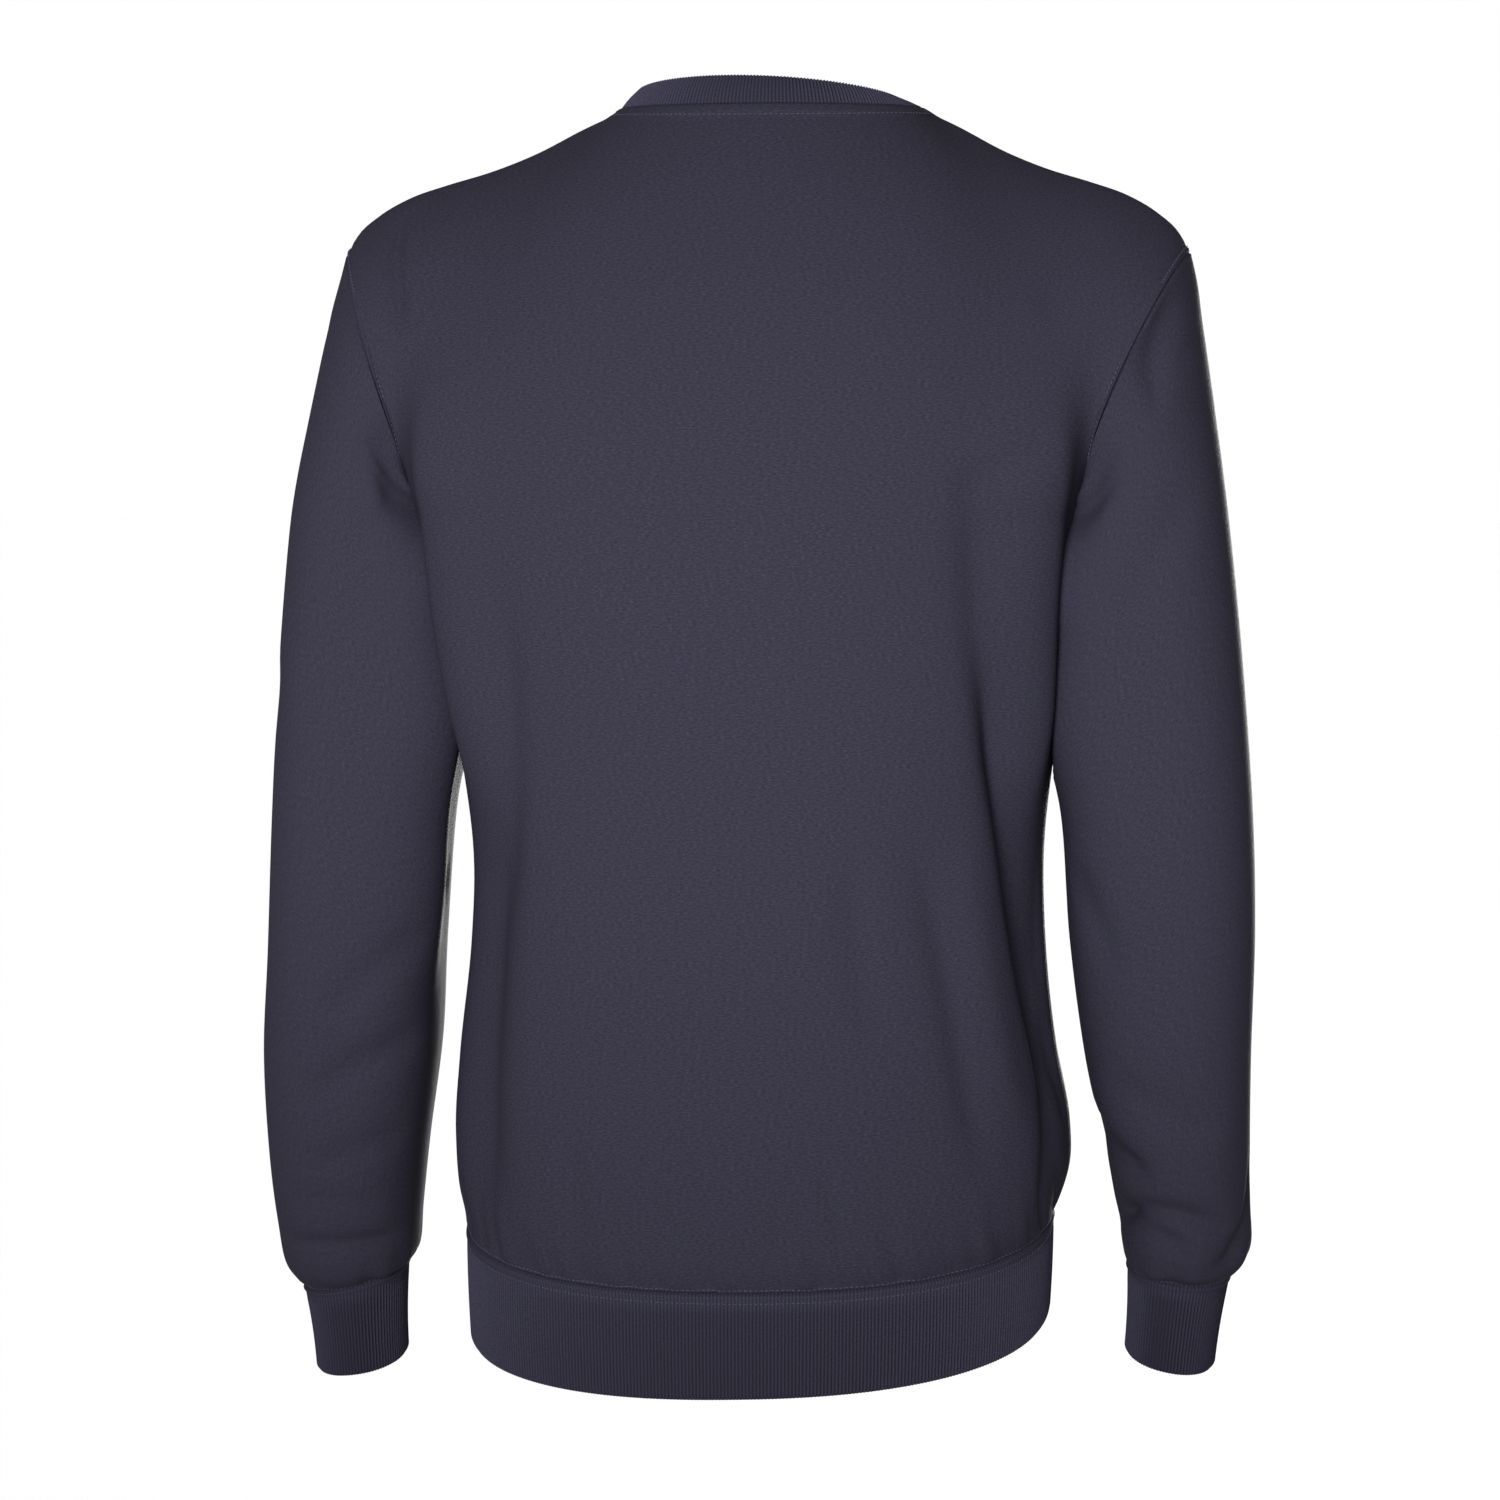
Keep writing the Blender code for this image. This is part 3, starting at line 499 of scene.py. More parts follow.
# %% Easing a corner out
def relaxed(points):
    """The upper half of a panel, each point drawn towards the middle of its neighbours.

    The neckline meets the shoulder seam in a corner. Cloth spreads such a corner out, so the
    kink is eased away from it, while the edges of the panel stay where they are.
    """
    rows, columns = points.shape[:2]
    row = np.arange(rows) - SIDE_ROWS
    column = np.arange(columns)
    free = smooth(row / (ARMHOLE_ROWS / 2.0)) * smooth((rows - 1 - np.arange(rows)) / RELAX_EDGE)
    share = free[:, None] * smooth(np.minimum(column, columns - 1 - column) / RELAX_EDGE)[None, :]
    for _ in range(RELAX_ROUNDS):
        middle = points.copy()
        middle[1:-1, 1:-1] = (points[:-2, 1:-1] + points[2:, 1:-1]
                              + points[1:-1, :-2] + points[1:-1, 2:]) / 4.0
        points = points + (middle - points) * share[..., None]
    return points


# %% The panels
def side_heights():
    """The heights of the panel's lower rows."""
    places = np.arange(SIDE_ROWS + 1) / FINER
    return np.interp(places, np.arange(len(SIDE_HEIGHTS)), SIDE_HEIGHTS)


def body_panel(name, side, creases):
    """Back or front: rings up to the underarm, then curves over the chest to the shoulders."""
    lower = np.stack([torso_half(height, side) for height in side_heights()])
    top = top_line(side)
    start = lower[-1]
    span = np.linalg.norm(top - start, axis=1)[:, None]
    column = np.arange(PANEL_COLUMNS + 1)

    start_handle = unit(lower[-1] - lower[-2]) * span * CHEST_REACH
    from_edge = np.minimum(column, PANEL_COLUMNS - column)
    over_neck = smooth((from_edge - SHOULDER_COLUMNS) / CORNER_COLUMNS)
    over_shoulder = smooth((SHOULDER_COLUMNS - from_edge) / CORNER_COLUMNS)
    turned = CORNER_TURN * (1.0 - over_neck) * (1.0 - over_shoulder)
    fall = SHOULDER_FALL + (NECK_FALL[side] - SHOULDER_FALL) * over_neck
    reach = SHOULDER_REACH + (NECK_REACH - SHOULDER_REACH) * over_neck
    outwards = np.sign(PANEL_COLUMNS / 2 - column) * np.sin(turned)
    away = side * np.cos(turned)
    down = fall * np.cos(turned) + OUTWARD_FALL * np.sin(turned)
    end_handle = unit(np.stack([outwards, away, -down], axis=1)) * reach[:, None] * span

    for hand, steps in ((LEFT, column), (RIGHT, PANEL_COLUMNS - column)):
        near = np.clip(1.0 - steps / ARMHOLE_BLEND, 0.0, 1.0)[:, None] ** 2
        mirror = np.array([hand, side, 1.0])
        start_handle = start_handle * (1.0 - near) + np.array(ARMHOLE_START) * mirror * near
        end_handle = end_handle * (1.0 - near) + np.array(ARMHOLE_END) * mirror * near

    t = (np.arange(1, ARMHOLE_ROWS + 1) / ARMHOLE_ROWS)[:, None, None]
    upper = (start * (1 - t) ** 3 + (start + start_handle) * 3 * t * (1 - t) ** 2
             + (top + end_handle) * 3 * t * t * (1 - t) + top * t ** 3)
    panel = Cloth(name, relaxed(np.concatenate([lower, upper])), False, side)
    panel.crease(creases, -distance_across(panel.points, PANEL_COLUMNS // 2))
    return panel


back = body_panel("back_cloth", BACK, BACK_CREASES)
front = body_panel("front_cloth", FRONT, FRONT_CREASES)
print("back:", back.points.shape[:2], "points")

# %% [markdown]
# ## Sleeves
# A sleeve is a tube that starts as the armhole and turns round within a few rings to a plain
# oval. Under the arm it lies against the body, so any point that would be inside the torso is
# pushed out to just beside it, which flattens the tube as real cloth is flattened there. The
# last rings turn square to the cuff, so that its seam runs straight across the wrist.

# %% Rings round an arm
TORSO_STEPS = 200


def arm_ring(inner, outer, half_depth, fullness, tangent):
    """One ring round an arm, starting at its inner side and going round by the back."""
    angles = np.linspace(0.0, 2.0 * math.pi, SLEEVE_COLUMNS, endpoint=False)
    across, out = rounded(angles, fullness)
    half_width = (inner - outer) / 2.0
    backwards = unit(np.cross(half_width, tangent))
    backwards = backwards * np.sign(backwards[1])
    middle = (inner + outer) / 2.0
    return middle + np.outer(across, half_width) + np.outer(out, backwards * half_depth)


def clear_of_torso(points):
    """Push the points of a sleeve out of the torso's side, so that it lies just beside it."""
    heights = np.linspace(TORSO["key"][0], TORSO["key"][-1], TORSO_STEPS)
    torso = read(TORSO, heights)
    x, y, z = points[..., 0], points[..., 1], points[..., 2]
    value = {name: np.interp(z, heights, torso[name]) for name in torso}
    depth = np.where(y > 0.0, value["back"], value["front"]) + SIDE_CLEARANCE
    width = value["half_width"] + SIDE_CLEARANCE
    power = value["fullness"]
    reach = (np.abs(x - value["centre"]) / width) ** power + (np.abs(y) / depth) ** power
    push = np.maximum(1.0, reach ** (-1.0 / power))
    cleared = np.stack([value["centre"] + (x - value["centre"]) * push, y * push, z], axis=-1)
    return np.where((z > TORSO["key"][-1])[..., None], points, cleared)


# %% The sleeves
CAP_RINGS = 6 * FINER
CUFF_TURN = 5.0 * FINER


def sleeve(name, hand, armhole, creases):
    """A sleeve from the armhole's own points to the cuff seam."""
    ring = np.arange(SLEEVE_RINGS + 1)
    value = read(SLEEVE[hand], ring / FINER)
    inner, outer = (np.stack([hand * value[side + "_out"], value["depth"],
                              value[side + "_height"]], axis=1) for side in ("inner", "outer"))
    middles = (inner + outer) / 2.0
    tangents = unit(np.gradient(middles, axis=0))
    towards_cuff = unit(CUFF_END[hand].mean(axis=0) - middles[-1])
    near_cuff = smooth((ring - SLEEVE_RINGS) / CUFF_TURN + 1.0)[:, None]
    tangents = unit(tangents * (1.0 - near_cuff) + towards_cuff * near_cuff)
    points = np.array([arm_ring(*shape) for shape in zip(
        inner, outer, value["half_depth"], value["fullness"], tangents)])
    fade = (1.0 - smooth(ring / CAP_RINGS))[:, None, None]
    points = clear_of_torso(points + (armhole - points[0]) * fade)
    points[0] = armhole
    cloth = Cloth(name, points, True, hand)
    cloth.crease(creases, distance_across(points, ARMHOLE_ROWS // 2))
    return cloth


top_row = SIDE_ROWS + ARMHOLE_ROWS
sleeves = {}
for hand, label in ((LEFT, "left"), (RIGHT, "right")):
    column = 0 if hand == LEFT else PANEL_COLUMNS
    armhole = np.concatenate([back.points[SIDE_ROWS:, column],
                              front.points[top_row - 1:SIDE_ROWS:-1, column]])
    sleeves[hand] = sleeve("sleeve_" + label + "_cloth", hand, armhole, SLEEVE_CREASES[hand])
    girth = reach_along(np.concatenate([armhole, armhole[:1]]))[-1]
    print(label, "armhole:", round(girth * 1000), "mm round")

# %% [markdown]
# ## Ribbed bands
# The neckband, hem band and cuffs are knitted in rib, which stands in fine ridges. The pitch
# was counted on the photo, about 2 mm. At that size each rib is real relief here, with four
# columns to a rib: a crest, a slope, a valley and a slope. A bump map would not show at the
# band's edge.

# %% Columns for the ribs
RIB_COLUMNS = 4
HEM_RIBS = 464
NECK_RIBS = 224
CUFF_RIBS = 96


def round_again(ring, columns):
    """The same closed ring with another number of even columns."""
    closed = np.concatenate([ring, ring[:1]])
    return even(closed, columns)[:-1]


def pitch_of(band, count):
    """The width of one rib, or of one column, at the first row of a band."""
    ring = band.points[0]
    return reach_along(np.concatenate([ring, ring[:1]]))[-1] / count


# %% The hem band
def hem_band(ring):
    """The ribbed band below the body, from the seam to the hem."""
    rows = []
    for share in np.arange(BAND_ROWS + 1) / BAND_ROWS:
        drawn_in = 1.0 - HEM_DRAWN_IN * share * share
        level = ring * np.array([drawn_in, drawn_in, 1.0])
        level[:, 2] -= (HEM_BAND_HEIGHT + HEM_BAND_LEAN * ring[:, 0]) * share
        rows.append(level)
    return Cloth("hem_band_rib", np.array(rows), True, -1, BAND_CLOTH)


hem_ring = np.concatenate([back.points[0, :-1], front.points[0, :0:-1]])
hem = hem_band(round_again(hem_ring, HEM_RIBS * RIB_COLUMNS))
print("hem band:", HEM_RIBS, "ribs,", round(pitch_of(hem, HEM_RIBS) * 1000, 2), "mm each")

# %% The cuffs
def cuff(name, hand, ring):
    """A ribbed cuff, from the sleeve's last ring to its open end."""
    first_middle = ring.mean(axis=0)
    last_middle = CUFF_END[hand].mean(axis=0)
    last = arm_ring(*CUFF_END[hand], CUFF_HALF_DEPTH, CUFF_FULLNESS, last_middle - first_middle)
    ring = round_again(ring, CUFF_RIBS * RIB_COLUMNS)
    last = round_again(last, CUFF_RIBS * RIB_COLUMNS)
    rows = []
    for share in np.arange(BAND_ROWS + 1) / BAND_ROWS:
        narrowed = 1.0 - (1.0 - share) ** 2
        middle = first_middle + (last_middle - first_middle) * share
        shape = (ring - first_middle) * (1.0 - narrowed) + (last - last_middle) * narrowed
        rows.append(middle + shape)
    return Cloth(name, np.array(rows), True, hand, BAND_CLOTH)


cuffs = {hand: cuff("cuff_" + label + "_rib", hand, sleeves[hand].points[-1])
         for hand, label in ((LEFT, "left"), (RIGHT, "right"))}
print("cuffs:", CUFF_RIBS, "ribs each")


# %% The neckband
def neckband():
    """The ribbed band round the neck: back half, then front half."""
    half = NECK_RIBS * RIB_COLUMNS // 2
    rows = []
    for row in range(BAND_ROWS + 1):
        ring = 2.0 * row / BAND_ROWS
        back_half = neck_half(ring, BACK, half)
        front_half = neck_half(ring, FRONT, half)[::-1]
        rows.append(np.concatenate([back_half[:-1], front_half[:-1]]))
    return Cloth("neckband_rib", np.array(rows), True, 1, BAND_CLOTH)


neck = neckband()
print("neckband:", neck.points.shape[:2], "points")

# %% [markdown]
# ## Gathers
# A band is cut shorter than the cloth that it holds, so above the hem band and the cuffs the
# body and the sleeves pucker. The ripples are a few waves of unlike lengths added up, deepest
# at the seam and soon gone above it. Each has a fixed phase, so every run gives the same.

# %% Gathers above the bands
RIPPLES = table(
    "length phase depth",
    (34, 0.6, 0.6),
    (21, 2.1, 0.5),
    (14.5, 4.0, 0.4),
)
RIPPLE_START = 0.006
HEM_FADE = 0.030
CUFF_FADE = 0.024


def gather(cloth, distances, from_seam, fade):
    """Ripple a piece beside its seam. Distances run along the seam."""
    depth = np.zeros_like(distances)
    for length, phase, deep in zip(RIPPLES["length"], RIPPLES["phase"], RIPPLES["depth"]):
        depth += deep * np.sin(distances * 2.0 * math.pi / length + phase)
    rise = smooth(from_seam / RIPPLE_START) * np.exp(-(from_seam / fade) ** 2)
    if not cloth.closed:
        columns = np.arange(distances.shape[1])
        rise = rise * smooth(np.minimum(columns, columns[::-1]) / EDGE_STEPS)
    cloth.points = cloth.points - cloth.normals * (depth * rise)[..., None]
    cloth.refresh()


for panel in (back, front):
    gather(panel, distance_across(panel.points, 0), distance_up(panel.points), HEM_FADE)
for arm in sleeves.values():
    up = distance_up(arm.points)
    around = distance_across(arm.points, 0)[-1:]
    # The longest wave fits a whole number of times into the girth, so it closes on itself.
    longest = RIPPLES["length"][0]
    around = around / around[0, -1] * round(around[0, -1] / longest) * longest
    gather(arm, around + 0.0 * up, up[-1:] - up, CUFF_FADE)
print("ripples beside the bands:", len(RIPPLES["key"]), "waves")

# %% [markdown]
# ## Turned edges
# Where two pieces are sewn, their edges turn in, so a seam is a narrow valley with a soft
# shoulder on both sides. Next to the neckband the seam allowance is folded down on to the
# body and sewn flat, which leaves a low raised strip 8 mm wide. Beside the armholes there is
# one of 3 mm.

# %% Rows close to an edge
EDGE_SHARES = (0.0, 0.22, 0.5, 1.0, 1.33, 1.67, 2.0, 2.25, 2.5, 2.75, 3.0)
VALLEY_WIDTH = 0.5
VALLEY_DEPTH = 0.0016


def near_edges(count, shares=EDGE_SHARES):
    """Places along a grid's side, closer together next to each end."""
    first = round(shares[-1]) + 1
    places = list(shares) + list(range(first, count - first))
    return np.array(places + [count - 1 - share for share in reversed(shares)])


def at_places(grid, places, axis):
    """Rows or columns of a grid at whole or part places."""
    low = np.clip(np.floor(places).astype(int), 0, grid.shape[axis] - 2)
    share = places - low
    share = share.reshape([-1 if side == axis else 1 for side in range(grid.ndim)])
    return np.take(grid, low, axis) * (1 - share) + np.take(grid, low + 1, axis) * share


def valley(places, count):
    """How deep a turned edge lies at each place: full at the edge and nothing further in."""
    from_edge = np.minimum(places, count - 1 - places)
    return VALLEY_DEPTH * (1.0 - smooth(from_edge / VALLEY_WIDTH))


# %% Raised strips
NECK_STRIP = 0.0078
ARMHOLE_STRIP = 0.0030
STRIP_HEIGHT = 0.0011
STRIP_SLOPE = 0.0011
STRIP_END = 3.0
STITCH_GROOVE = 0.0005
GROOVE_WIDTH = 0.0009


def strip_height(distance, width):
    """How far a turned seam allowance raises the cloth at a distance from its seam."""
    raised = STRIP_HEIGHT * (1.0 - smooth((distance - width) / STRIP_SLOPE + 0.5))
    return raised - STITCH_GROOVE * np.exp(-((distance - width) / GROOVE_WIDTH) ** 2)


def panel_strips(panel):
    """The strips below the neck and beside both armholes of a panel."""
    from_top = distance_up(panel.points[::-1])[::-1]
    column = np.arange(PANEL_COLUMNS + 1)
    from_side = np.minimum(column, PANEL_COLUMNS - column)
    in_neck = smooth((from_side - SHOULDER_COLUMNS) / STRIP_END + 1.0)
    strip = strip_height(from_top, NECK_STRIP) * in_neck[None, :]
    beside_arm = smooth((np.arange(len(panel.points)) - SIDE_ROWS) / STRIP_END)[:, None]
    for middle in (0, PANEL_COLUMNS):
        away = np.abs(distance_across(panel.points, middle))
        strip = strip + strip_height(away, ARMHOLE_STRIP) * beside_arm
    return strip


for panel in (back, front):
    panel.strip = panel_strips(panel)
print("strip below the neck:", NECK_STRIP * 1000, "mm wide")

# %% [markdown]
# ## Walls
# Each grid becomes a closed wall: an outer skin, an inner skin and rims round the open edges.
# A solidify modifier would do nearly the same, but here the ribs are raised in the outer skin
# alone, and the rims of two sewn pieces stay in line. Distances along the cloth are kept as a
# UV map in metres, so that a pattern can be scaled in real millimetres.

# %% Faces of a wall
def wall_faces(rows, columns, closed):
    """Faces of both skins and of the rims that join them round the open edges."""
    sheet = rows * columns
    grid = np.arange(sheet).reshape(rows, columns)
    if closed:
        grid = np.concatenate([grid, grid[:, :1]], axis=1)
    outer = np.stack([grid[:-1, :-1], grid[:-1, 1:], grid[1:, 1:], grid[1:, :-1]], axis=-1)
    outer = outer.reshape(-1, 4)
    parts = [outer, outer[:, ::-1] + sheet]
    edges = [grid[0], grid[-1, ::-1]]
    if not closed:
        edges += [grid[::-1, 0], grid[:, -1]]
    for edge in edges:
        one, two = edge[:-1], edge[1:]
        parts.append(np.stack([one, sheet + one, sheet + two, two], axis=-1))
    return np.concatenate(parts)


# %% From a grid to an object
SHARP_ANGLE = math.radians(60.0)


def smooth_object(name, spots, faces, flat, material):
    """An object from corner points and faces. Each point's flat place is its UV, in metres."""
    mesh = bpy.data.meshes.new(name)
    mesh.from_pydata(spots.tolist(), [], faces.tolist())
    places = flat[faces.ravel()].astype(np.float32)
    mesh.uv_layers.new(name="metres").data.foreach_set("uv", places.ravel())
    mesh.materials.append(material)
    mesh.shade_smooth()
    piece = bpy.data.objects.new(name, mesh)
    bpy.context.scene.collection.objects.link(piece)
    return piece


def cloth_object(cloth, outer, inner, distances, material):
    """A closed wall as an object, mapped by the distances along the cloth."""
    spots = np.concatenate([outer.reshape(-1, 3), inner.reshape(-1, 3)])
    faces = wall_faces(*outer.shape[:2], cloth.closed)
    if cloth.outwards < 0:
        faces = faces[:, ::-1]
    flat = np.concatenate([distances.reshape(-1, 2)] * 2)
    piece = smooth_object(cloth.name, spots, faces, flat, material)
    piece.data.set_sharp_from_angle(angle=SHARP_ANGLE)
    return piece


# %% [markdown]
# ## Colour
# Colours are picked as sRGB hex values, as in any paint program, but the renderer counts light
# in linear values. One function turns the first into the second.

# %% Colours
def linear(hex_colour):
    """An sRGB hex colour as linear red, green, blue and alpha."""
    values = []
    for place in (1, 3, 5):
        share = int(hex_colour[place:place + 2], 16) / 255.0
        if share <= 0.04045:
            values.append(share / 12.92)
        else:
            values.append(((share + 0.055) / 1.055) ** 2.4)
    return (*values, 1.0)


def add(tree, kind, settings=None, links=None):
    """Add a node. Settings are properties or input values, links are the inputs' sources."""
    node = tree.nodes.new(kind)
    for key, value in (settings or {}).items():
        if isinstance(key, int) or key in node.inputs:
            node.inputs[key].default_value = value
        else:
            setattr(node, key, value)
    for key, source in (links or {}).items():
        tree.links.new(source, node.inputs[key])
    return node


# %% [markdown]
# ## Brushed jersey
# The body and sleeves are a cotton and polyester jersey with a brushed inside, knitted from
# mixed dark fibres. From a metre away the navy grey looks faintly flecked, in short streaks
# along the rows of loops: noise, stretched sideways, picks one of three close tones. Cotton
# has an IOR near 1.5, but loose fibre ends scatter the light, so the gloss is nearly off. At
# full gloss a white room would whiten each side that turns away. The cells of a Voronoi
# texture, 0.9 by 0.7 mm, stand in for the loops as a bump, because modelled ones would be
# millions.

# %% Yarn
LOOP_WIDTH = 0.0009
LOOP_HEIGHT = 0.0007
STREAK_LENGTH = 0.0022
STREAK_HEIGHT = 0.0008
BUMP_DEPTH = 0.0003
YARN_VALUES = {"IOR": 1.5, "Specular IOR Level": 0.02}
YARN_ROUGHNESS = 0.92


def start_yarn(name):
    """A material, its node tree and the place along the cloth in metres."""
    material = bpy.data.materials.new(name)
    material.use_nodes = True
    tree = material.node_tree
    return material, tree, add(tree, "ShaderNodeUVMap", {"uv_map": "metres"}).outputs["UV"]


def in_steps(tree, place, width, height):
    """The place along the cloth, counted in steps of a width and a height."""
    return add(tree, "ShaderNodeMapping", {"Scale": (1.0 / width, 1.0 / height, 1.0)},
               {"Vector": place}).outputs["Vector"]


def in_tones(tree, amount, *tones):
    """An amount from 0 to 1 as a colour, through tones at their places."""
    ramp = add(tree, "ShaderNodeValToRGB", None, {"Fac": amount})
    elements = ramp.color_ramp.elements
    for element, (position, colour) in zip(list(elements), (tones[0], tones[-1])):
        element.position = position
        element.color = linear(colour)
    for position, colour in tones[1:-1]:
        elements.new(position).color = linear(colour)
    return ramp.outputs["Color"]


def finish_yarn(material, colour, height, strength, roughness=YARN_ROUGHNESS):
    """Join a colour and a bump to the material's shader."""
    tree = material.node_tree
    shader = tree.nodes["Principled BSDF"]
    bump = add(tree, "ShaderNodeBump", {"Strength": strength, "Distance": BUMP_DEPTH},
               {"Height": height})
    tree.links.new(colour, shader.inputs["Base Color"])
    tree.links.new(bump.outputs["Normal"], shader.inputs["Normal"])
    for key, value in {**YARN_VALUES, "Roughness": roughness}.items():
        shader.inputs[key].default_value = value
    return material


# %% Brushed jersey
def brushed_jersey(name, dark, middle, light):
    """Marled jersey: three close tones in short streaks, and a bump of loops."""
    material, tree, place = start_yarn(name)
    streaks = add(tree, "ShaderNodeTexNoise", {"Scale": 1.0, "Detail": 3.0, "Roughness": 0.65},
                  {"Vector": in_steps(tree, place, STREAK_LENGTH, STREAK_HEIGHT)})
    colour = in_tones(tree, streaks.outputs["Fac"], (0.30, dark), (0.5, middle), (0.72, light))
    loops = add(tree, "ShaderNodeTexVoronoi", {"Scale": 1.0, "Randomness": 0.55},
                {"Vector": in_steps(tree, place, LOOP_WIDTH, LOOP_HEIGHT)})
    return finish_yarn(material, colour, loops.outputs["Distance"], 0.35)


jersey = brushed_jersey("brushed_jersey", "#14131A", "#1A1921", "#21202A")
print("made", jersey.name)

# %% [markdown]
# ## Rib knit and thread
# The bands are a 1 by 1 rib in the same yarn. Their ridges are real relief, but light as soft
# as this hardly shades them, so a Wave texture with the ribs' own pitch paints shade into the
# valleys.
# Flecks in two close tones do for the loops stacked along each ridge, as colour and as bump.
# The sewing thread is the same yarn, spun tighter, so it is a little lighter and smoother.

# %% Rib knit and thread
RIB_SHADE = 0.42
WAVE_LENGTH = math.pi / 10.0
MIX_FIRST, MIX_SECOND, MIX_RESULT = 6, 7, 2
THREAD_ROUGHNESS = 0.6


def rib_yarn(name, dark, light, pitch=None, roughness=YARN_ROUGHNESS):
    """Yarn in two close tones with a bump of loops, and painted shade between ribs of the given
    pitch.
    """
    material, tree, place = start_yarn(name)
    flecks = add(tree, "ShaderNodeTexNoise", {"Scale": 1.0, "Detail": 2.0, "Roughness": 0.6},
                 {"Vector": in_steps(tree, place, STREAK_HEIGHT, LOOP_HEIGHT)})
    colour = in_tones(tree, flecks.outputs["Fac"], (0.32, dark), (0.70, light))
    if pitch:
        # Painted shade: the Wave texture mixes the yarn towards black in the valleys between the
        # ribs.
        # A Wave texture of scale 1 repeats after WAVE_LENGTH.
        ribs = in_steps(tree, place, pitch / WAVE_LENGTH, 1.0)
        between = add(tree, "ShaderNodeTexWave", {"Scale": 1.0}, {"Vector": ribs})
        shade = add(tree, "ShaderNodeMapRange", {"To Min": 0.0, "To Max": RIB_SHADE},
                    {"Value": between.outputs["Fac"]})
        mixed = add(tree, "ShaderNodeMix", {"data_type": "RGBA"},
                    {"Factor": shade.outputs["Result"], MIX_FIRST: colour})
        mixed.inputs[MIX_SECOND].default_value = (0.0, 0.0, 0.0, 1.0)
        colour = mixed.outputs[MIX_RESULT]
    return finish_yarn(material, colour, flecks.outputs["Fac"], 0.4, roughness)


hem_rib = rib_yarn("hem_rib_knit", "#1B1A22", "#262530", pitch_of(hem, HEM_RIBS))
neck_rib = rib_yarn("neck_rib_knit", "#1D1C25", "#282733", pitch_of(neck, NECK_RIBS))
cuff_rib = rib_yarn("cuff_rib_knit", "#1A1921", "#24232E", pitch_of(cuffs[LEFT], CUFF_RIBS))
thread = rib_yarn("sewing_thread", "#262531", "#33323F", roughness=THREAD_ROUGHNESS)
print("made", hem_rib.name, neck_rib.name, cuff_rib.name, thread.name)

# %% [markdown]
# ## The outer skin
# The four big pieces get their form from the grids alone. On the bands, the crest of each rib
# stands out and its valley lies back by half of the relief, so the band keeps its mean size.
# Next to the seams of the hem band and the cuffs the turned-in edges lie under the rib and
# fill it out to a smooth roll, in which the ribs only start.

# %% Making the pieces
RIB_RELIEF = 0.0009
RIB_STEP = np.array([0.5, 0.0, -0.5, 0.0])
ROLL_WIDTH = 0.0042
ROLL_HEIGHT = 0.0011
RIBS_START = 0.7
BAND_SHARES = (0.0, 0.12, 0.24, 0.36, 0.48, 0.62, 0.76, 1.0)


def wall_of(cloth, ribbed, rolled):
    """The outer and inner skin of a piece, and the distances along them."""
    across = distance_across(cloth.points, 0)
    if ribbed:
        columns = across.shape[1]
        across = np.broadcast_to(np.arange(columns) * pitch_of(cloth, columns), across.shape)
    distances = np.stack([across, distance_up(cloth.points)], axis=-1)
    grids = [cloth.points, cloth.normals, distances, cloth.strip[..., None]]
    rows = near_edges(len(cloth.points), BAND_SHARES if ribbed else EDGE_SHARES)
    sunk = valley(rows, len(cloth.points))[:, None]
    grids = [at_places(grid, rows, 0) for grid in grids]
    if not cloth.closed:
        columns = near_edges(cloth.points.shape[1])
        sunk = np.maximum(sunk, valley(columns, cloth.points.shape[1])[None, :])
        grids = [at_places(grid, columns, 1) for grid in grids]
    points, normals, distances, strip = grids
    raised = 0.0
    if ribbed:
        raised = np.tile(RIB_STEP, points.shape[1] // RIB_COLUMNS)[None, :] * RIB_RELIEF
    if rolled:
        along_roll = distances[..., 1] / ROLL_WIDTH
        raised = raised * smooth(along_roll - RIBS_START)
        raised = raised + ROLL_HEIGHT * np.sin(math.pi * np.minimum(along_roll, 1.0))
    out = cloth.thickness / 2.0 + raised - sunk + strip[..., 0]
    outer = points + normals * out[..., None]
    inner = points - normals * cloth.thickness / 2.0
    return outer, inner, distances


def dress(cloth, node, material, area=None):
    """Only the ribbed bands have no area."""
    ribbed = area is None
    skins = wall_of(cloth, ribbed, ribbed and node != "neckband")
    piece = cloth_object(cloth, *skins, material)
    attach(piece, "root")
    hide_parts(node)
    print(cloth.name, "made with", len(piece.data.polygons), "faces")


dress(back, "back", jersey, 0.290)
dress(front, "front", jersey, 0.268)
dress(sleeves[LEFT], "sleeve_left", jersey, 0.170)
dress(sleeves[RIGHT], "sleeve_right", jersey, 0.165)
dress(neck, "neckband", neck_rib)
dress(hem, "hem_band", hem_rib)
dress(cuffs[LEFT], "cuff_left", cuff_rib)
dress(cuffs[RIGHT], "cuff_right", cuff_rib)

# %% [markdown]
# ## Sewing
# The seams are sewn again from outside, in rows of short stitches: below the neckband, beside
# the armholes, above the hem band and the cuffs, and once more on the hem band. Each stitch is
# one low bead of thread, sunk a little into the cloth. An array along a curve could lay them,
# but here each bead is turned to lie on the cloth, which curves.

# %% Beads of thread
STITCH = 0.0028
THREAD_WIDTH = 0.0007
BEAD_STRETCH = 1.2
BEAD_RISE = 0.8
BEAD_ENDS = ((-0.40, 0.35), (-0.25, 1.0), (0.25, 1.0), (0.40, 0.35))


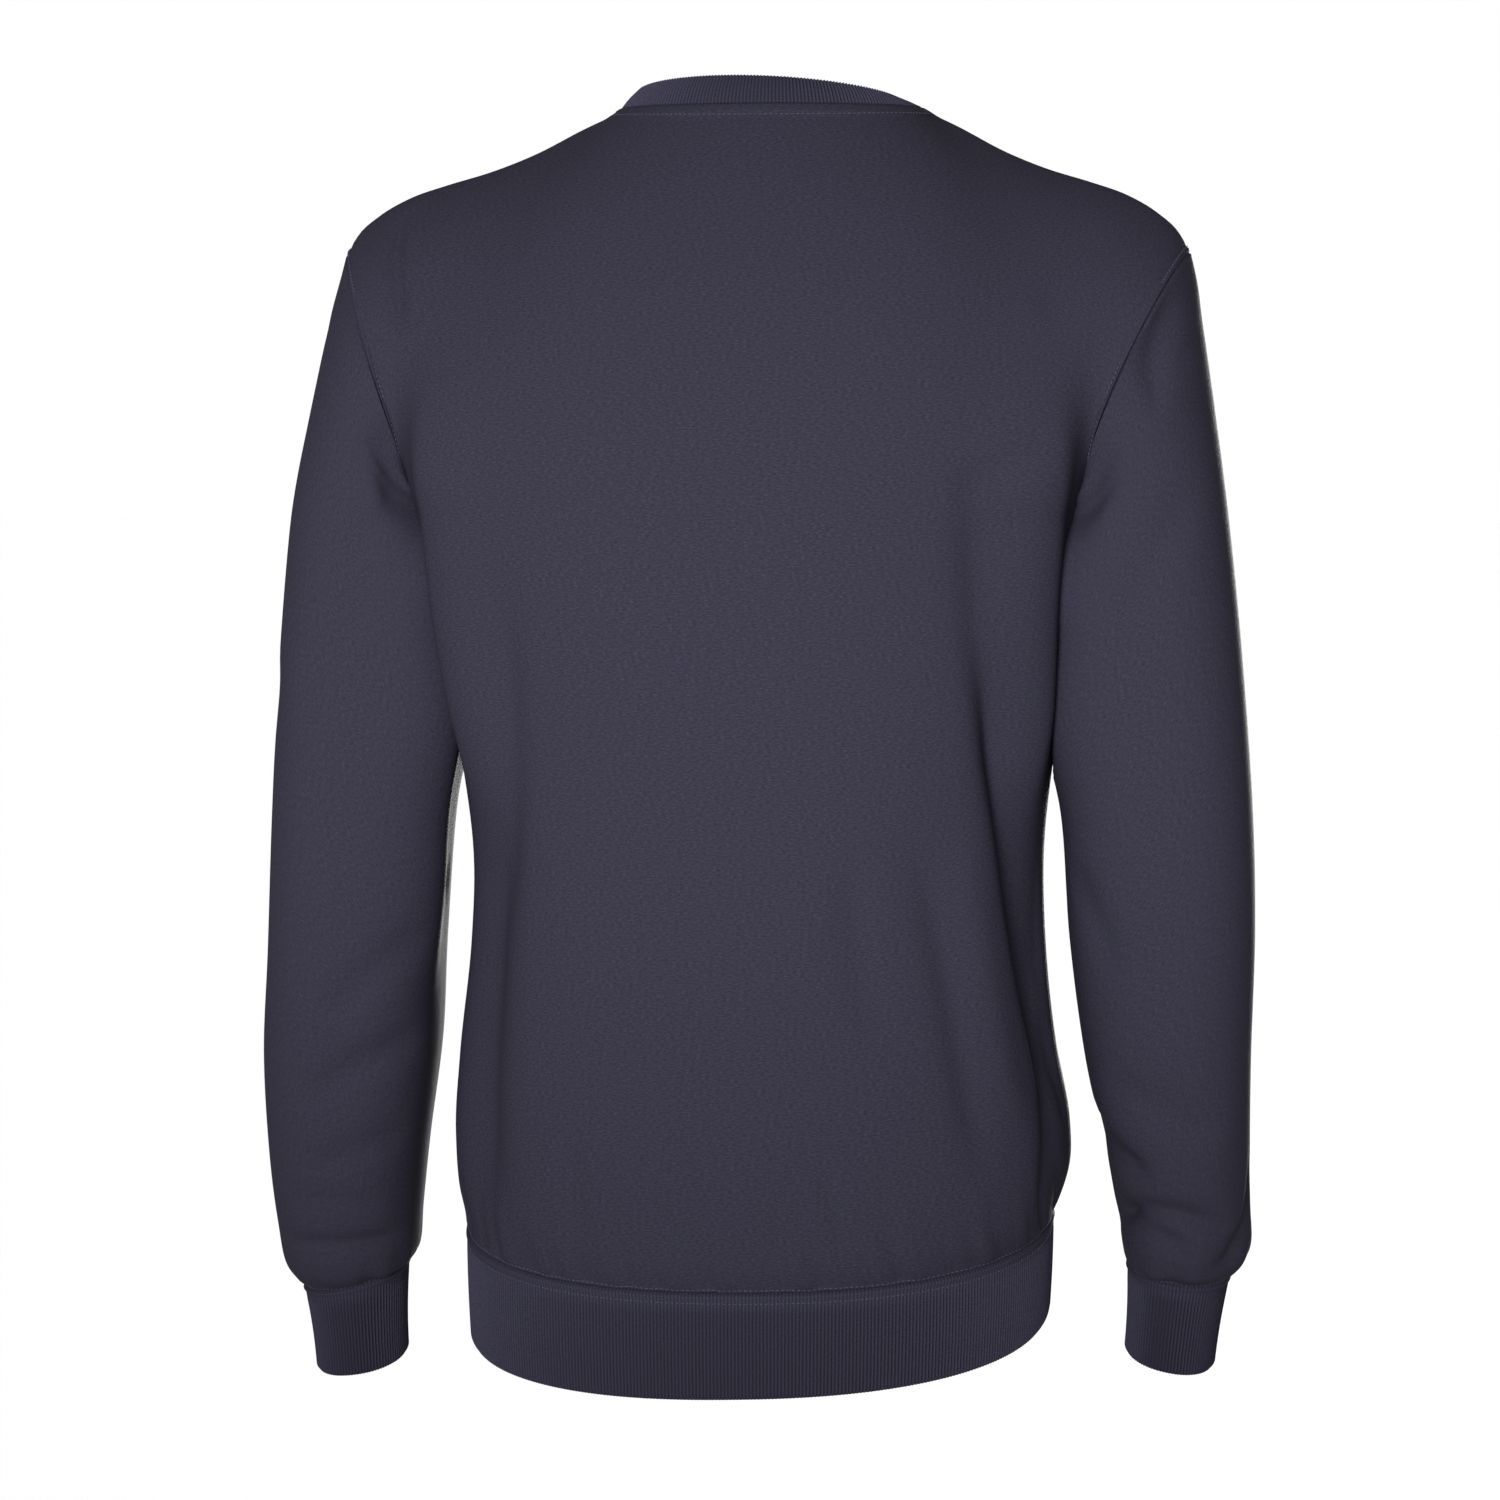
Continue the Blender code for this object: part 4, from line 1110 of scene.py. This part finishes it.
def stitches_along(line, normals, filled):
    """Corner points of a row of beads that lie along a line on the cloth."""
    reach = reach_along(line)
    count = max(2, round(reach[-1] / STITCH))
    step = reach[-1] / count
    middles = (np.arange(count) + 0.5) * step
    spots = at_distances(line, middles)
    ups = unit(np.stack([np.interp(middles, reach, normals[:, axis]) for axis in range(3)], axis=1))
    ahead = unit(at_distances(line, middles + step / 4) - at_distances(line, middles - step / 4))
    aside = unit(np.cross(ups, ahead))
    beads = []
    for place, full in BEAD_ENDS:
        middle = spots + ahead * step * filled * place * BEAD_STRETCH
        for turn in range(4):
            angle = math.pi * (turn + 0.5) / 2.0
            out = aside * math.cos(angle) + ups * math.sin(angle) * BEAD_RISE
            beads.append(middle + out * THREAD_WIDTH * 0.5 * full)
    return np.stack(beads, axis=1)


def bead_faces(count):
    """Faces of a row of beads: four rings of four corners each, closed at both ends."""
    faces = [(0, 1, 2, 3), (15, 14, 13, 12)]
    for ring in range(3):
        for side in range(4):
            one = ring * 4 + side
            two = ring * 4 + (side + 1) % 4
            faces.append((one, one + 4, two + 4, two))
    faces = np.array(faces)
    return (faces[None] + 16 * np.arange(count)[:, None, None]).reshape(-1, 4)


# %% Rows of stitches
def sew(name, lines, filled, seat):
    """One object for several rows of stitches, each a line with its directions out."""
    beads = np.concatenate([stitches_along(line + normals * seat, normals, filled)
                            for line, normals in lines])
    spots = beads.reshape(-1, 3)
    row = smooth_object(name, spots, bead_faces(len(beads)), spots[:, [0, 2]], thread)
    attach(row, "root")
    print(name, "has", len(beads), "stitches")


def beside(points, normals, distance, closed=False):
    """A line across a grid, at a distance up each column, and its directions out."""
    up = distance_up(points)
    line, outs = (np.array([[np.interp(distance, up[:, column], grid[:, column, axis])
                             for axis in range(3)] for column in range(grid.shape[1])])
                  for grid in (points, normals))
    if closed:
        line, outs = (np.concatenate([row, row[:1]]) for row in (line, outs))
    return line, unit(outs)


# %% Neck and hem stitches
NECK_PART = slice(SHOULDER_COLUMNS, SHOULDER_COLUMNS + NECK_COLUMNS + 1)
ABOVE_HEM = 0.0020
ON_HEM_BAND = 0.0058
ABOVE_CUFF = 0.0022
NECK_FILLED, SEAM_FILLED, BAND_FILLED = 0.75, 0.70, 0.60

neck_lines = [beside(panel.points[::-1, NECK_PART], panel.normals[::-1, NECK_PART], NECK_STRIP)
              for panel in (back, front)]
hem_lines = [beside(panel.points, panel.normals, ABOVE_HEM) for panel in (back, front)]
band_lines = [beside(hem.points, hem.normals, ON_HEM_BAND, closed=True)]
sew("neck_stitches", neck_lines, NECK_FILLED, CLOTH / 2.0 + STRIP_HEIGHT / 2.0)
sew("hem_stitches", hem_lines, SEAM_FILLED, CLOTH / 2.0)
sew("hem_band_stitches", band_lines, BAND_FILLED, BAND_CLOTH / 2.0 + RIB_RELIEF / 4.0)

# %% Armhole and cuff stitches
def armhole_line(panel, column):
    """A line down a panel, where the strip beside one of its armholes ends."""
    inwards = 1 if column == 0 else -1
    turned = [np.swapaxes(grid[SIDE_ROWS:, ::inwards], 0, 1)
              for grid in (panel.points, panel.normals)]
    return beside(*turned, ARMHOLE_STRIP)


for hand, label in ((LEFT, "left"), (RIGHT, "right")):
    column = 0 if hand == LEFT else PANEL_COLUMNS
    arm = sleeves[hand]
    lines = [armhole_line(panel, column) for panel in (back, front)]
    sew("armhole_stitches_" + label, lines, SEAM_FILLED, CLOTH / 2.0)
    lines = [beside(arm.points[::-1], arm.normals[::-1], ABOVE_CUFF, closed=True)]
    sew("cuff_stitches_" + label, lines, SEAM_FILLED, CLOTH / 2.0)

# %% [markdown]
# ## Studio
# The photo was taken in soft light on white. A white world gives the background and most of
# the light. One wide, low light beside the camera brightens the cloth that faces it, so that
# the sides fall off darker, and one like it lights the front. Narrow beams keep them off the
# floor, which lies where a standing wearer's feet would be.

# %% Floor and light
FLOOR_HEIGHT = -1.45
FLOOR_REACH = 40.0
LIGHT_WIDTH = 1.5
LIGHT_HEIGHT = 0.8
LIGHT_SPREAD = math.radians(26.0)
LIGHT_POWER = 17.0
LIGHT_AIM = (0.0, 0.0, -0.26)


def floor():
    """A plain pale floor, wide enough to reach the horizon."""
    mesh = bpy.data.meshes.new("floor")
    mesh.from_pydata([(x * FLOOR_REACH, y * FLOOR_REACH, FLOOR_HEIGHT)
                      for x, y in ((-1, -1), (1, -1), (1, 1), (-1, 1))], [], [(0, 1, 2, 3)])
    material = bpy.data.materials.new("pale_floor")
    material.use_nodes = True
    shader = material.node_tree.nodes["Principled BSDF"]
    shader.inputs["Base Color"].default_value = linear("#FFFFFF")
    shader.inputs["Roughness"].default_value = 0.9
    mesh.materials.append(material)
    ground = bpy.data.objects.new("floor", mesh)
    bpy.context.scene.collection.objects.link(ground)


def turned_to(thing, place, aim):
    """Put a light or a camera at a place, turned towards a point, and show it."""
    thing.location = place
    thing.rotation_euler = (Vector(aim) - Vector(place)).to_track_quat("-Z", "Y").to_euler()
    bpy.context.scene.collection.objects.link(thing)


def soft_light(name, place):
    """A wide, low light, turned towards the cloth."""
    lamp = bpy.data.lights.new(name, "AREA")
    lamp.shape = "RECTANGLE"
    lamp.size = LIGHT_WIDTH
    lamp.size_y = LIGHT_HEIGHT
    lamp.energy = LIGHT_POWER
    lamp.spread = LIGHT_SPREAD
    turned_to(bpy.data.objects.new(name, lamp), place, LIGHT_AIM)


floor()
soft_light("key_light", (0.3, 3.0, -0.2))
soft_light("front_light", (-0.3, -3.0, -0.2))

world = bpy.data.worlds.new("studio")
world.use_nodes = True
sky = world.node_tree.nodes["Background"]
sky.inputs["Color"].default_value = (1.0, 1.0, 1.0, 1.0)
sky.inputs["Strength"].default_value = 1.0
bpy.context.scene.world = world
bpy.context.scene.view_settings.view_transform = "Standard"
print("floor at", FLOOR_HEIGHT, "m")

# %% [markdown]
# ## Camera
# The photo shows the back from 2.6 m, turned 7 degrees and a little from above. The lens is
# long, so that near and far parts keep their true proportions.

# %% Camera
EYE = (-0.307, 2.573, -0.142)
AIM = (0.009, 0.0, -0.346)
FOCAL_LENGTH = 114.5
SENSOR_WIDTH = 36.0

lens = bpy.data.cameras.new("camera")
lens.lens = FOCAL_LENGTH
lens.sensor_width = SENSOR_WIDTH
camera = bpy.data.objects.new("camera", lens)
turned_to(camera, EYE, AIM)
bpy.context.scene.camera = camera
print("camera", round(math.dist(EYE, AIM), 2), "m from the cloth")
